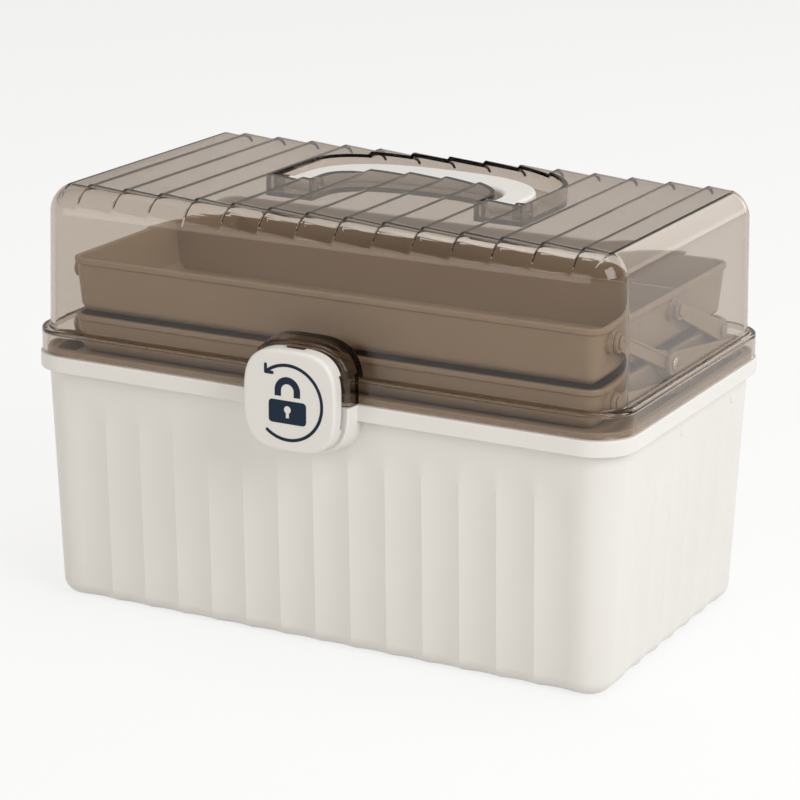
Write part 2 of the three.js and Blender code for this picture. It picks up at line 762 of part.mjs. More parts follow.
function makeLid() {
  const edge = quarter(cornerSteps);
  const wallAt = lid.wallInset + lid.draft;
  const shell = (thick, ceiling, bottom, drop) => [
    outline(rim, lid.skirtInset + thick, bottom),
    outline(rim, lid.skirtInset + thick, shoulder - drop - lid.shoulderRound),
    outline(rim, lid.skirtInset + lid.shoulderRound + thick, shoulder - drop),
    outline(rim, lid.wallInset + thick, shoulder - drop),
    ...edge.map(({ rise, inset }) =>
      outline(
        rim,
        wallAt + thick + (lid.edgeRound - thick) * inset,
        ceiling - (lid.edgeRound - thick) * (1 - rise),
      ),
    ),
  ];
  const outside = loft(shell(0, lidTop, lidBottom, 0));
  const inside = loft(shell(lid.wall, lidCeiling, lidBottom - overrun, lid.wall));
  const hood = cut(
    padBlock(0, -rim.halfWidth + wallInset, padFace),
    block(-rim.halfLength, rim.halfLength, -rim.halfLength, 0, 0, lidBottom),
  );
  const skirtFace = -rim.halfWidth + lid.skirtInset;
  const hoodPocket = cut(
    padBlock(-pad.wall, skirtFace - overrun, padFace + pad.wall),
    block(-rim.halfLength, rim.halfLength, -rim.halfLength, 0, 0, lidBottom - overrun),
  );
  const wallFace = -rim.halfWidth + lid.wallInset;
  const upperPocket = cut(
    padBlock(-pad.wall, wallFace - lid.wall, skirtFace - overrun - overrun),
    block(-rim.halfLength, rim.halfLength, -rim.halfLength, 0, 0, shoulder + lid.wall),
  );
  const slot = rodY(tongue.radius + runGap, padFace - overrun, padFace + pad.wall + overrun, 0, knobZ);
  const casing = plateZ(recessShape(recess.floor), recessFloor - recess.floor, lidTop - ribs.depth);
  const pocket = plateZ(recessShape(0), recessFloor, lidTop + overrun);
  const ears = [];
  const bores = [];
  for (const { sign } of sides) {
    ears.push(handleBracket(sign, islandSide - overrun, legInner - seatGap));
    ears.push(handleBracket(sign, handle.halfWidth + seatGap, recessSide + overrun));
    const [low, high] = mirrored(sign, pinNear - seatGap, pinFar + seatGap);
    bores.push(rodX(handle.pin + seatGap, low, high, 0, eyeZ, smallSteps));
  }
  const ribbed = join(outside, cut(hood, inside)).intersect(ribTunnel());
  const closed = cut(ribbed, cut(inside, casing), pocket);
  const pegHoles = keeperPegs(seatGap, padFace + pad.wall + overrun);
  const whole = cut(closed, hoodPocket, upperPocket, slot, ...pegHoles);
  const knuckles = sides.map(({ sign }) => lidKnuckle(sign * hingeX));
  add("lid_shell", cut(join(whole, ...ears, ...knuckles), ...bores, ...hingeBores()), "clear");
}

// The keeper, pegged to the lid's hood, that the turned knob holds down
function keeperPegs(grow, yBack) {
  return sides.map(({ sign }) => {
    const x = (sign * keeper.pegSpread) / 2;
    return rodY(keeper.peg + grow, padFace - overrun, yBack, x, keeperTop - keeper.pegDrop, smallSteps);
  });
}

function makeKeeper() {
  const bar = block(
    -keeper.halfWidth,
    keeper.halfWidth,
    padFace - keeper.reach,
    padFace - seatGap,
    keeperTop - keeper.height,
    keeperTop,
  );
  add("lid_keeper", join(bar, ...keeperPegs(0, padFace + pad.wall)), "clear");
}

// The handle and its pins
function makeHandle() {
  const barLow = eyeZ - handle.eye;
  const shape = bail(
    { halfWidth: handle.halfWidth - seatGap, back: handleBack, depth: handleBack * handle.bowShare },
    {
      halfWidth: legInner + seatGap,
      back: handleInner,
      depth: handleInner * handle.innerBowShare,
    },
    0,
  );
  let grip = plateZ(shape, barLow, barLow + handle.thick, handle.round);
  for (const { name, sign } of sides) {
    const [low, high] = mirrored(sign, legInner + seatGap, handle.halfWidth - seatGap);
    grip = join(grip, rodX(handle.eye, low, high, 0, eyeZ));
    grip = cut(grip, rodX(handle.pin + seatGap, low - overrun, high + overrun, 0, eyeZ, smallSteps));
    const [pinLow, pinHigh] = mirrored(sign, pinNear, pinFar);
    add(`handle_pin_${name}`, rodX(handle.pin, pinLow, pinHigh, 0, eyeZ, smallSteps), "steel");
  }
  add("carry_handle", grip, "white");
}

function makeHingePins() {
  for (const { name, sign } of sides) {
    const x = sign * hingeX;
    const pin = rodX(hinge.pin, x - knuckleEnd, x + knuckleEnd, hingeY, hingeZ, smallSteps);
    add(`hinge_pin_${name}`, pin, "steel");
  }
}

// The knob, the hub that it turns on, and the screw that holds the hub to the tongue
function makeKnob() {
  const outside = loft([
    roundedSquare(knob.halfSize, knobBack),
    roundedSquare(knob.halfSize, knobFront + knob.round),
    roundedSquare(knob.halfSize - knob.round / 3, knobFront + knob.round / 3),
    roundedSquare(knob.halfSize - knob.round, knobFront),
  ]);
  const inside = loft([
    roundedSquare(knob.halfSize - knob.wall, knobBack + overrun),
    roundedSquare(knob.halfSize - knob.wall, knobInside),
  ]);
  const keeperNotch = block(
    -keeper.halfWidth - keeper.play,
    keeper.halfWidth + keeper.play,
    padFace - keeper.reach - runGap,
    knobBack + overrun,
    knobZ,
    knobZ + knob.halfSize + overrun,
  );
  const notchCore = knob.halfSize - knob.notchIn;
  const sideNotch = cut(
    block(
      0,
      knob.halfSize + overrun,
      knobBack - knob.notchDepth,
      knobBack + overrun,
      knobZ + knob.notchLow,
      knobZ + knob.notchHigh,
    ),
    loft([
      roundedSquare(notchCore, knobBack + overrun + overrun),
      roundedSquare(notchCore, knobFront),
    ]),
  );
  add("knob_cap", cut(outside, inside, keeperNotch, sideNotch), "white");

  const shoulderFront = knobBack - hub.reach;
  const bore = hub.shoulder + seatGap;
  const sink = hub.head + seatGap;
  const ring = cut(
    rodY(hub.radius, knobInside + seatGap, padFace - seatGap, 0, knobZ),
    rodY(bore, knobFront, padFace, 0, knobZ),
    rodY(sink, knobFront, shoulderFront, 0, knobZ),
  );
  add("knob_hub", ring, "white");

  const headBack = shoulderFront - seatGap;
  const screw = join(
    rodY(hub.shoulder, headBack - hub.headThick / 2, padFace - seatGap, 0, knobZ),
    rodY(hub.head, headBack - hub.headThick, headBack, 0, knobZ),
    rodY(hub.stem, padFace - runGap, padFace + tongue.thick, 0, knobZ, smallSteps),
  );
  add("knob_screw", screw, "steel");
}

makeTub();
makeFrame();
makeTray("lower_tray", lowerBottom, lowerTray.height, [middle, lowerFront, lowerRear], []);
const dividerTop = upperTop - upperTray.dividerDrop;
const divider = block(
  -trayHalfLength,
  trayHalfLength,
  upperTray.dividerY - upperTray.divider / 2,
  upperTray.dividerY + upperTray.divider / 2,
  upperBottom,
  dividerTop,
);
makeTray("upper_tray", upperBottom, upperTray.height, [upperFront, upperRear], [divider]);
makeArms();
makePivotPins();
makeLid();
makeKeeper();
makeHandle();
makeHingePins();
makeKnob();

export default box;
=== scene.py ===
import json
import math
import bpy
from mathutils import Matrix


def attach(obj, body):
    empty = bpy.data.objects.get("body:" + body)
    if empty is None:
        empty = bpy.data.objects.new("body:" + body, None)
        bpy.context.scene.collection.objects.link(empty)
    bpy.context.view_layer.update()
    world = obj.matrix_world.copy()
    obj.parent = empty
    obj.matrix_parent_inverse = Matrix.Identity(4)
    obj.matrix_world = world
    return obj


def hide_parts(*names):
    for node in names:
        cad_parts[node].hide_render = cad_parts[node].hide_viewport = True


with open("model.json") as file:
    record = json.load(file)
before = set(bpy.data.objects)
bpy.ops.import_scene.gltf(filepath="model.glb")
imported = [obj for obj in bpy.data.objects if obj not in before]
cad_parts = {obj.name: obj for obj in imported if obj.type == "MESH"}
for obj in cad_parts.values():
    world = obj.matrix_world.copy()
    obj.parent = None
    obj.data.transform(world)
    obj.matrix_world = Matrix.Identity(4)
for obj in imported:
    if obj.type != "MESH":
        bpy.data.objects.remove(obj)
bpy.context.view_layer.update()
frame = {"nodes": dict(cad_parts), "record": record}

from types import SimpleNamespace as Size

import bpy
import numpy as np
from mathutils import Matrix, Vector

nodes = frame["nodes"]
MM = 0.001
SLOT_OF = {part["node"]: part["material_slot"] for part in frame["record"]["subparts"]}
BODY_OF = {node: body for body, held in frame["record"]["behaviour"]["bodies"].items() for node in held}


# Materials. Noise cells are counted per metre.

NOISE_RANGE = (0.3, 0.7)
MOTTLE = Size(
    cells=14, rough_cells=90, rough_step=0.05, grain_cells=2500, grain_strength=0.25, grain_height=0.00003
)
CLEAR = Size(ior=1.42, cells=60, polished=0.005, dull=0.03, passing=0.96)
SCUFF = Size(cells=900, low_share=0.7, high_share=1.4)
INK_GLOSS = 0.15


def material(name):
    """A new material with its node tree, its Principled shader and its output."""
    made = bpy.data.materials.new(name)
    made.use_nodes = True
    tree = made.node_tree
    return made, tree, tree.nodes["Principled BSDF"], tree.nodes["Material Output"]


def noise(tree, cells, detail=2):
    """Noise on the piece's own coordinates."""
    place = tree.nodes.new("ShaderNodeTexCoord")
    texture = tree.nodes.new("ShaderNodeTexNoise")
    texture.inputs["Scale"].default_value = cells
    texture.inputs["Detail"].default_value = detail
    tree.links.new(place.outputs["Object"], texture.inputs["Vector"])
    return texture.outputs["Fac"]


def spread(tree, source, low, high):
    """Maps a noise's usual range onto low to high."""
    node = tree.nodes.new("ShaderNodeMapRange")
    node.inputs["From Min"].default_value, node.inputs["From Max"].default_value = NOISE_RANGE
    node.inputs["To Min"].default_value = low
    node.inputs["To Max"].default_value = high
    tree.links.new(source, node.inputs["Value"])
    return node.outputs["Result"]


def moulded(name, pale, deep, rough):
    """Moulded plastic: a slow mottle between two close colours, a finer one in its roughness,
    and a fine grain in its bump. Sockets 6, 7 and output 2 are the mix node's colours."""
    made, tree, shader, _ = material(name)
    mix = tree.nodes.new("ShaderNodeMix")
    mix.data_type = "RGBA"
    mix.inputs[6].default_value = (*pale, 1)
    mix.inputs[7].default_value = (*deep, 1)
    tree.links.new(spread(tree, noise(tree, MOTTLE.cells, detail=3), 0, 1), mix.inputs["Factor"])
    tree.links.new(mix.outputs[2], shader.inputs["Base Color"])
    patches = noise(tree, MOTTLE.rough_cells)
    low, high = rough - MOTTLE.rough_step, rough + MOTTLE.rough_step
    tree.links.new(spread(tree, patches, low, high), shader.inputs["Roughness"])
    bump = tree.nodes.new("ShaderNodeBump")
    bump.inputs["Strength"].default_value = MOTTLE.grain_strength
    bump.inputs["Distance"].default_value = MOTTLE.grain_height
    tree.links.new(noise(tree, MOTTLE.grain_cells), bump.inputs["Height"])
    tree.links.new(bump.outputs["Normal"], shader.inputs["Normal"])
    return made


def smoky(name, tint, density, absorbed):
    """Clear tinted plastic that also darkens with the way light has to go inside it. Rays to lamps
    and from matt surfaces pass it unbent, so that what it covers is lit cleanly."""
    made, tree, shader, output = material(name)
    shader.inputs["Base Color"].default_value = (*tint, 1)
    shader.inputs["Transmission Weight"].default_value = 1
    shader.inputs["IOR"].default_value = CLEAR.ior
    patches = noise(tree, CLEAR.cells)
    tree.links.new(spread(tree, patches, CLEAR.polished, CLEAR.dull), shader.inputs["Roughness"])
    inside = tree.nodes.new("ShaderNodeVolumeAbsorption")
    inside.inputs["Color"].default_value = (*absorbed, 1)
    inside.inputs["Density"].default_value = density
    tree.links.new(inside.outputs["Volume"], output.inputs["Volume"])
    passing = tree.nodes.new("ShaderNodeBsdfTransparent")
    passing.inputs["Color"].default_value = (CLEAR.passing, CLEAR.passing, CLEAR.passing, 1)
    path = tree.nodes.new("ShaderNodeLightPath")
    either = tree.nodes.new("ShaderNodeMath")
    either.operation = "MAXIMUM"
    tree.links.new(path.outputs["Is Shadow Ray"], either.inputs[0])
    tree.links.new(path.outputs["Is Diffuse Ray"], either.inputs[1])
    mix = tree.nodes.new("ShaderNodeMixShader")
    tree.links.new(either.outputs[0], mix.inputs["Fac"])
    tree.links.new(shader.outputs["BSDF"], mix.inputs[1])
    tree.links.new(passing.outputs["BSDF"], mix.inputs[2])
    tree.links.new(mix.outputs["Shader"], output.inputs["Surface"])
    return made


def metal(name, colour, rough):
    """Bright metal with fine scuffs in its roughness."""
    made, tree, shader, _ = material(name)
    shader.inputs["Base Color"].default_value = (*colour, 1)
    shader.inputs["Metallic"].default_value = 1
    scuffs = noise(tree, SCUFF.cells, detail=3)
    low, high = rough * SCUFF.low_share, rough * SCUFF.high_share
    tree.links.new(spread(tree, scuffs, low, high), shader.inputs["Roughness"])
    return made


white = moulded("off_white_plastic", (0.78, 0.77, 0.744), (0.762, 0.748, 0.716), 0.36)
taupe = moulded("taupe_plastic", (0.395, 0.31, 0.222), (0.38, 0.295, 0.21), 0.34)
clear = smoky("smoky_clear_plastic", (0.9, 0.88, 0.86), 126, (0.41, 0.255, 0.09))
ink = moulded("navy_ink", (0.01, 0.024, 0.045), (0.008, 0.02, 0.04), 0.5)
ink.node_tree.nodes["Principled BSDF"].inputs["Specular IOR Level"].default_value = INK_GLOSS
steel = metal("bright_steel", (0.78, 0.78, 0.78), 0.22)

SLOTS = {"white_plastic": white, "taupe_plastic": taupe, "clear_plastic": clear, "steel": steel}
for name, slot in SLOT_OF.items():
    nodes[name].data.materials.clear()
    nodes[name].data.materials.append(SLOTS[slot])


# Sizes in millimetres, the same as the solids'. A soft_ size is how far from its corner an edge
# begins to round.

SEAT = 0.3
RUN = 0.6
OVER = 1.0
SQUARENESS = 3.2
BOW_POWER = 2.6

RIM = Size(
    length=165, width=95.9, corner=22, top=131.4, depth=8.1, skirt=2.2, plate=2.4, soft_skirt=0.4,
    soft_under=0.7, soft_top=0.8, soft_mouth=0.5,
)
TUB = Size(
    step=4.5, draft=5.1, wall=2.5, floor=3, foot_round=8, inside_round=5, soft_inside=4, rings=(30, 60)
)
FLUTE = Size(
    front_count=14, front_pitch=20, end_count=6, end_pitch=20.5, end_shift=4.3, depth=1.2, plain=8, fade=20,
    steps=8,
)
DIMPLE = Size(radius=2.6, height=0.7, below=17, spread=66, shift=26)
FRAME = Size(
    rim_inset=3.6, lip=2.5, lip_height=2.7, shelf=1.2, wall=2, deck_drop=1.1, deck=2.5, open_inset=29,
    open_side_inset=21.9, open_corner=10, channel_depth=4.2, channel_floor=2, channel_in=3.4,
    channel_front=19.9, channel_back=13.9, slot_width=6, slot_front=47.5, slot_pivot=9, slot_back=11,
    deck_start=4, soft_neck=0.4, soft_rim=0.3, soft_lip=0.6, soft_shelf=0.5,
)
TRAY = Size(
    end_gap=18, side_gap=15.9, corner=9, draft=3.6, wall=1.8, floor=2, bead=0.8, bead_height=2.6,
    foot_round=3, lower=20.2, upper=28.2, between=1.1, divider=1.6, divider_y=19, divider_drop=2,
    floor_start=2, soft_bottom=1.2, soft_side=1.8, soft_neck=0.3, soft_bead=0.4, soft_top=0.7, soft_mouth=0.6,
)
SWING = Size(
    middle_y=-7, middle_up=17.2, front_in=14.5, front_up=12, rear_in=18.5, upper_front_in=16,
    upper_rise=23.7, frame_rear_in=1, lower_fall=11.2,
)
ARM = Size(thick=2, hub=5, frame_hub=4.3, slim=3.6, wide=6, broad=6.8, groove=0.7, groove_rim=1.2, edge=0.4)
BOSS = Size(radius=6, ring=5.1, step=1, proud=1.5, root=3, soft_step=0.4, soft_face=0.3)
LUG = Size(radius=5, web=6, root=1.8, edge=0.3)
PIN = Size(
    radius=1.6, head=3.3, head_thick=1.2, dome=0.5, bite=4.2, dome_run=1, flat=0.4, soft_rim=0.2,
    soft_side=0.5, soft_dome=1,
)
LID = Size(
    skirt_inset=0.9, skirt_height=12.2, wall_inset=5.2, draft=1.4, height=86.1, edge=15, wall=2.2,
    soft_outside=1.4, soft_inside=1,
)
RIB = Size(pitch=20.87, depth=1.6, riser=1.2, crest_drop=0.05)
RECESS = Size(
    side_gap=6, back_in=19.9, bow=0.605, front=-7, depth=11, floor=2.2, gap=2.5, island_in=45,
    island_bow=0.935,
)
HANDLE = Size(
    width=64.5, back_in=19, bow=0.825, leg=14, inner_in=40, inner_bow=0.861, thick=8, edge=2.2, eye=4.2,
    eye_edge=0.8, pin=2, pin_bite=4, bracket=4.4, bracket_edge=0.3,
)
HINGE = Size(from_end=65, radius=4, clear=0.6, rise=1.2, lid_half=10, tub_length=11, pin=1.5, edge=0.4)
KNOB = Size(
    half=25.4, rise=2, stand_off=1.2, depth=8.8, wall=2.2, face=2.4, edge=2.6, notch_depth=3.2, notch_in=1.3,
    notch_low=-12.2, notch_high=14.5, back_in=0.3, back_step=0.4, soft_back=0.2,
)
HUB = Size(stem=1.8)
PAD = Size(half=27.4, spread=0.8, proud=7.5, wall=2.5, pocket=24, chamfer=0.8)
TONGUE = Size(radius=17, thick=6.4)
KEEPER = Size(half=4.5, reach=4.4, clear=2.5, play=1.2, peg=0.9, peg_spread=5.4, peg_drop=1.3)
MARK = Size(
    thick=0.12, sunk=0.05, centre_x=-0.3, centre_z=-0.5, radius=18.6, width=1.6, barb=3.7, start=-128, end=131
)
SHACKLE = Size(x=-0.5, z=5.3, outer=7, inner=3.5, foot=2.5)
LOCK = Size(half=10.3, top=0.5, bottom=-11, corner=2.2, hole=1.9, hole_z=-4, slit=0.9, slit_foot=-8.2)

# Heights and places that follow from them

rim_under = RIM.top - RIM.depth
flute_high = rim_under - FLUTE.plain
flute_low = flute_high - FLUTE.fade
shelf_under = RIM.top + SEAT
shelf_top = shelf_under + FRAME.shelf
lip_top = shelf_under + FRAME.lip_height
deck_top = RIM.top - FRAME.deck_drop
channel_top = deck_top - FRAME.channel_depth
frame_bottom = channel_top - FRAME.channel_floor
wall_inset = TUB.step + TUB.wall
frame_outer = wall_inset + SEAT
frame_inner = frame_outer + FRAME.wall

lower_bottom = deck_top + SEAT
lower_top = lower_bottom + TRAY.lower
upper_bottom = lower_top + TRAY.between
tray_plan = Size(length=RIM.length - TRAY.end_gap, width=RIM.width - TRAY.side_gap, corner=TRAY.corner)
mouth_plan = Size(
    length=RIM.length - FRAME.open_inset, width=RIM.width - FRAME.open_side_inset, corner=FRAME.open_corner
)
boss_face = tray_plan.length + BOSS.proud
inner_arm = boss_face + SEAT
outer_arm = inner_arm + ARM.thick + SEAT
channel_wall = tray_plan.length - FRAME.channel_in

middle = (SWING.middle_y, lower_bottom + SWING.middle_up)
lower_front = (SWING.front_in - tray_plan.width, lower_bottom + SWING.front_up)
lower_rear = (tray_plan.width - SWING.rear_in, middle[1])
upper_front = (SWING.upper_front_in - tray_plan.width, middle[1] + SWING.upper_rise)
upper_rear = (lower_rear[0] + upper_front[0] - middle[0], lower_rear[1] + SWING.upper_rise)
frame_rear = (tray_plan.width - SWING.frame_rear_in, middle[1] - SWING.lower_fall)
frame_front = (frame_rear[0] + lower_front[0] - middle[0], lower_front[1] - SWING.lower_fall)

lid_bottom = RIM.top + SEAT + SEAT
shoulder = lid_bottom + LID.skirt_height
lid_top = lid_bottom + LID.height
recess_floor = lid_top - RECESS.depth
recess_back = RIM.width - RECESS.back_in
recess_side = HANDLE.width + RECESS.side_gap
leg_inner = HANDLE.width - HANDLE.leg
island_side = leg_inner - RECESS.gap
island_back = recess_back - RECESS.island_in
handle_back = recess_back - HANDLE.back_in
handle_inner = recess_back - HANDLE.inner_in
eye_z = recess_floor + HANDLE.eye + RUN

hinge_x = RIM.length - HINGE.from_end
hinge_y = RIM.width + HINGE.radius + HINGE.clear
hinge_z = RIM.top + HINGE.rise
knuckle_end = HINGE.lid_half + HINGE.tub_length + RUN

knob_z = RIM.top + KNOB.rise
pad_face = -RIM.width - PAD.proud
knob_back = pad_face - KNOB.stand_off
knob_front = knob_back - KNOB.depth
keeper_top = knob_z + KNOB.half - KNOB.wall - KEEPER.clear


# Solids, made in millimetres

def loft(rings, closes=False):
    """A solid over rings of equal length: point j of ring i joins point j + 1 and the same two of
    ring i + 1. The first ring faces back along the path. A path that closes on itself has no caps."""
    rings = np.asarray(rings, float)
    turns, count = rings.shape[:2]
    here = np.arange(turns if closes else turns - 1)[:, None] * count
    there = (here + count) % (turns * count)
    one = np.arange(count)
    two = (one + 1) % count
    faces = np.stack([here + one, here + two, there + two, there + one], axis=-1).reshape(-1, 4).tolist()
    if not closes:
        faces += [one[::-1].tolist(), (one + (turns - 1) * count).tolist()]
    mesh = bpy.data.meshes.new("solid")
    mesh.from_pydata(rings.reshape(-1, 3), [], faces)
    return mesh


def formed(first, joined=(), cuts=(), common=()):
    """first, joined with some solids, cut by others, and kept only inside the last ones."""
    holder = bpy.data.objects.new("work", first)
    made_here = [holder]
    for operation, meshes in (("UNION", joined), ("DIFFERENCE", cuts), ("INTERSECT", common)):
        for mesh in meshes:
            other = bpy.data.objects.new("work", mesh)
            made_here.append(other)
            step = holder.modifiers.new("step", "BOOLEAN")
            step.operation, step.solver, step.object = operation, "MANIFOLD", other
    for made in made_here:
        bpy.context.scene.collection.objects.link(made)
    graph = bpy.context.evaluated_depsgraph_get()
    whole = bpy.data.meshes.new_from_object(holder.evaluated_get(graph))
    used = {made.data for made in made_here}
    for made in made_here:
        bpy.data.objects.remove(made)
    for mesh in used:
        bpy.data.meshes.remove(mesh)
    return whole


def eased(corners, steps=5):
    """A line through corners (a, b, round). Within that distance of a corner the line is the curve
    (1 - t)² start + 2 t (1 - t) corner + t² stop."""
    line = []
    for index, (across, along, size) in enumerate(corners):
        here = np.array([across, along], float)
        if not size:
            line.append(here[None])
            continue
        before, after = (np.array(corners[i][:2], float) - here for i in (index - 1, index + 1))
        start, stop = (here + way * min(size / np.linalg.norm(way), 0.5) for way in (before, after))
        t = np.linspace(0, 1, steps + 1)[:, None]
        line.append((1 - t) ** 2 * start + 2 * t * (1 - t) * here + t**2 * stop)
    return np.concatenate(line)


def around(plan, steps, front, end):
    """Stations round a rounded rectangle, anticlockwise from above: the corner centre or the side
    that each belongs to, and its way out. front and end are extra places along the sides."""
    anchors, ways = [], []
    for side, (x, y) in enumerate([(1, 1), (-1, 1), (-1, -1), (1, -1)]):
        centre = np.array([x * (plan.length - plan.corner), y * (plan.width - plan.corner)])
        angle = np.linspace(0, math.pi / 2, steps + 1) + side * math.pi / 2
        anchors.append(np.tile(centre, (steps + 1, 1)))
        ways.append(np.stack([np.cos(angle), np.sin(angle)], axis=1))
        places = np.asarray(end if side % 2 else front, float)
        places = places[::-1] if side < 2 else places
        line = np.tile(centre, (len(places), 1))
        line[:, side % 2] = places
        anchors.append(line)
        out = (x, 0) if side % 2 else (0, y)
        ways.append(np.tile(np.array(out, float), (len(places), 1)))
    return np.concatenate(anchors), np.concatenate(ways)


def swept(plan, profile, steps=14, dent=None, front=(), end=()):
    """Rings round a plan, one for each (inset, height, share of the dent) of the profile:
    point = anchor + way out × (corner - inset - share × dent)."""
    anchors, ways = around(plan, steps, front, end)
    profile = np.asarray(profile, float)
    reach = plan.corner - profile[:, :1] + np.zeros(len(anchors))
    if dent is not None:
        reach = reach - profile[:, 2:3] * dent(anchors, ways)
    flat = anchors + ways * reach[..., None]
    height = np.broadcast_to(profile[:, 1, None, None], (*flat.shape[:2], 1))
    return np.concatenate([flat, height], axis=-1)


def plate(outline, low, high, axis, edge=0.0, steps=4):
    """An outline made thick along an axis, with its two edges rounded. outline is anticlockwise
    against the axis: (y, z) for X, (z, x) for Y and (x, y) for Z."""
    outline = np.asarray(outline, float)
    sides = np.roll(outline, -1, axis=0) - outline
    out = np.stack([sides[:, 1], -sides[:, 0]], axis=1) / np.linalg.norm(sides, axis=1)[:, None]
    last = np.roll(out, 1, axis=0)
    ways = (out + last) / (1 + (out * last).sum(axis=1))[:, None]
    turn = np.linspace(0, math.pi / 2, steps + 1) if edge else np.array([math.pi / 2])
    inset = edge * (1 - np.sin(turn))
    rise = edge * (1 - np.cos(turn))
    insets = np.concatenate([inset, inset[::-1]])
    places = np.concatenate([low + rise, (high - rise)[::-1]])
    flat = outline - ways * insets[:, None, None]
    along = np.broadcast_to(places[:, None, None], (*flat.shape[:2], 1))
    return loft(np.roll(np.concatenate([flat, along], axis=-1), "XYZ".index(axis) + 1, axis=-1))


def circle(radius, centre, steps=48):
    angle = np.arange(steps) * 2 * math.pi / steps
    return np.stack([np.cos(angle), np.sin(angle)], axis=1) * radius + centre


def block(x, y, z):
    """A box from its three pairs of limits."""
    corners = [(x[0], y[0]), (x[1], y[0]), (x[1], y[1]), (x[0], y[1])]
    return plate(corners, z[0], z[1], "Z")


def rod_x(radius, x, pivot, steps=48, edge=0.0):
    return plate(circle(radius, pivot, steps), x[0], x[1], "X", edge)


def rod_y(radius, y, x, z, steps=64, edge=0.0):
    return plate(circle(radius, (z, x), steps), y[0], y[1], "Y", edge)


def turned_x(profile, sign, pivot, steps=40):
    """A round piece about a line along X, from (distance, radius) pairs."""
    profile = np.asarray(profile, float)
    flat = circle(1, (0, 0), steps) * profile[:, 1, None, None] + np.array(pivot)
    along = np.broadcast_to(sign * profile[:, 0, None, None], (*flat.shape[:2], 1))
    rings = np.concatenate([along, flat], axis=-1)
    return loft(rings if sign > 0 else rings[::-1])


def limits(sign, near, far):
    """Limits on one side of the middle plane, in rising order."""
    return (near, far) if sign > 0 else (-far, -near)


def squircle(half, y, steps=160):
    """A rounded square about the knob's axis: |x|^p + |z|^p = half^p with p the squareness,
    anticlockwise from the front."""
    angle = np.arange(steps) * 2 * math.pi / steps
    x, z = np.cos(angle), np.sin(angle)
    reach = half * (np.abs(x) ** SQUARENESS + np.abs(z) ** SQUARENESS) ** (-1 / SQUARENESS)
    return np.stack([x * reach, np.full(steps, y), knob_z + z * reach], axis=1)


def pad_block(offset, back, front):
    """The pad behind the knob, from inside the wall to its face, grown by an offset."""
    spread = PAD.spread / PAD.proud
    near = front + PAD.chamfer
    line = eased(
        [
            (PAD.half + offset + spread * (back - pad_face), back, 0),
            (PAD.half + offset + spread * (near - pad_face), near, PAD.chamfer),
            (PAD.half + offset - PAD.chamfer, front, 0),
        ]
    )
    return loft([squircle(half, y) for half, y in line])


def bow(width, back, depth, steps=72):
    """Half of |x/width|^p + |(y - back + depth)/depth|^p = 1, with p the bow's power, from its right
    end to its left."""
    angle = np.linspace(0, math.pi, steps + 1)
    across, along = np.cos(angle), np.clip(np.sin(angle), 0, 1)
    x = np.sign(across) * width * np.abs(across) ** (2 / BOW_POWER)
    return np.stack([x, back - depth + depth * along ** (2 / BOW_POWER)], axis=1)


def bail(outer, inner, front):
    """A U-shaped outline between two bows, whose legs end on one line."""
    return np.concatenate(
        [
            [(outer[0], front)],
            bow(*outer),
            [(-outer[0], front), (-inner[0], front)],
            bow(*inner)[::-1],
            [(inner[0], front)],
        ]
    )


def finish(name, mesh, node, sharp=32, print_ink=None):
    """The finished piece in metres, in place of its solid. Edges that turn by more than sharp
    degrees are shaded sharp. A print has its own ink and lies on a piece that stays."""
    mesh.transform(Matrix.Scale(MM, 4))
    mesh.name = name
    mesh.materials.clear()
    slot = SLOT_OF[node]
    mesh.materials.append(print_ink or SLOTS[slot])
    mesh.shade_smooth()
    mesh.set_sharp_from_angle(angle=math.radians(sharp))
    made = bpy.data.objects.new(name, mesh)
    bpy.context.scene.collection.objects.link(made)
    even = made.modifiers.new("even_shading", "WEIGHTED_NORMAL")
    even.keep_sharp = True
    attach(made, BODY_OF[node])
    if print_ink is None:
        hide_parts(node)


# The tub

def flute_dent(anchors, ways):
    """How deep the flutes go at each station. Each is a hollow between two sharp crests,
    4 t (1 - t) with t the share of its pitch, and the corners are plain."""
    x, y = anchors[:, 0], anchors[:, 1] - FLUTE.end_shift
    t = (x / FLUTE.front_pitch) % 1
    front = np.where(np.abs(x) < FLUTE.front_count / 2 * FLUTE.front_pitch, 4 * t * (1 - t), 0)
    t = (y / FLUTE.end_pitch) % 1
    end = np.where(np.abs(y) < FLUTE.end_count / 2 * FLUTE.end_pitch, 4 * t * (1 - t), 0)
    along_front = np.abs(ways[:, 1]) > 1 - 1e-9
    along_end = np.abs(ways[:, 0]) > 1 - 1e-9
    return FLUTE.depth * np.where(along_front, front, np.where(along_end, end, 0))


def flute_stations(count):
    """Places along a side, in pitches from the middle of its flutes."""
    return np.linspace(-count / 2, count / 2, count * FLUTE.steps + 1)


def tub_inset(z):
    """How far the tub's outer wall lies inside the rim at a height."""
    return TUB.step + TUB.draft * (rim_under - z) / rim_under


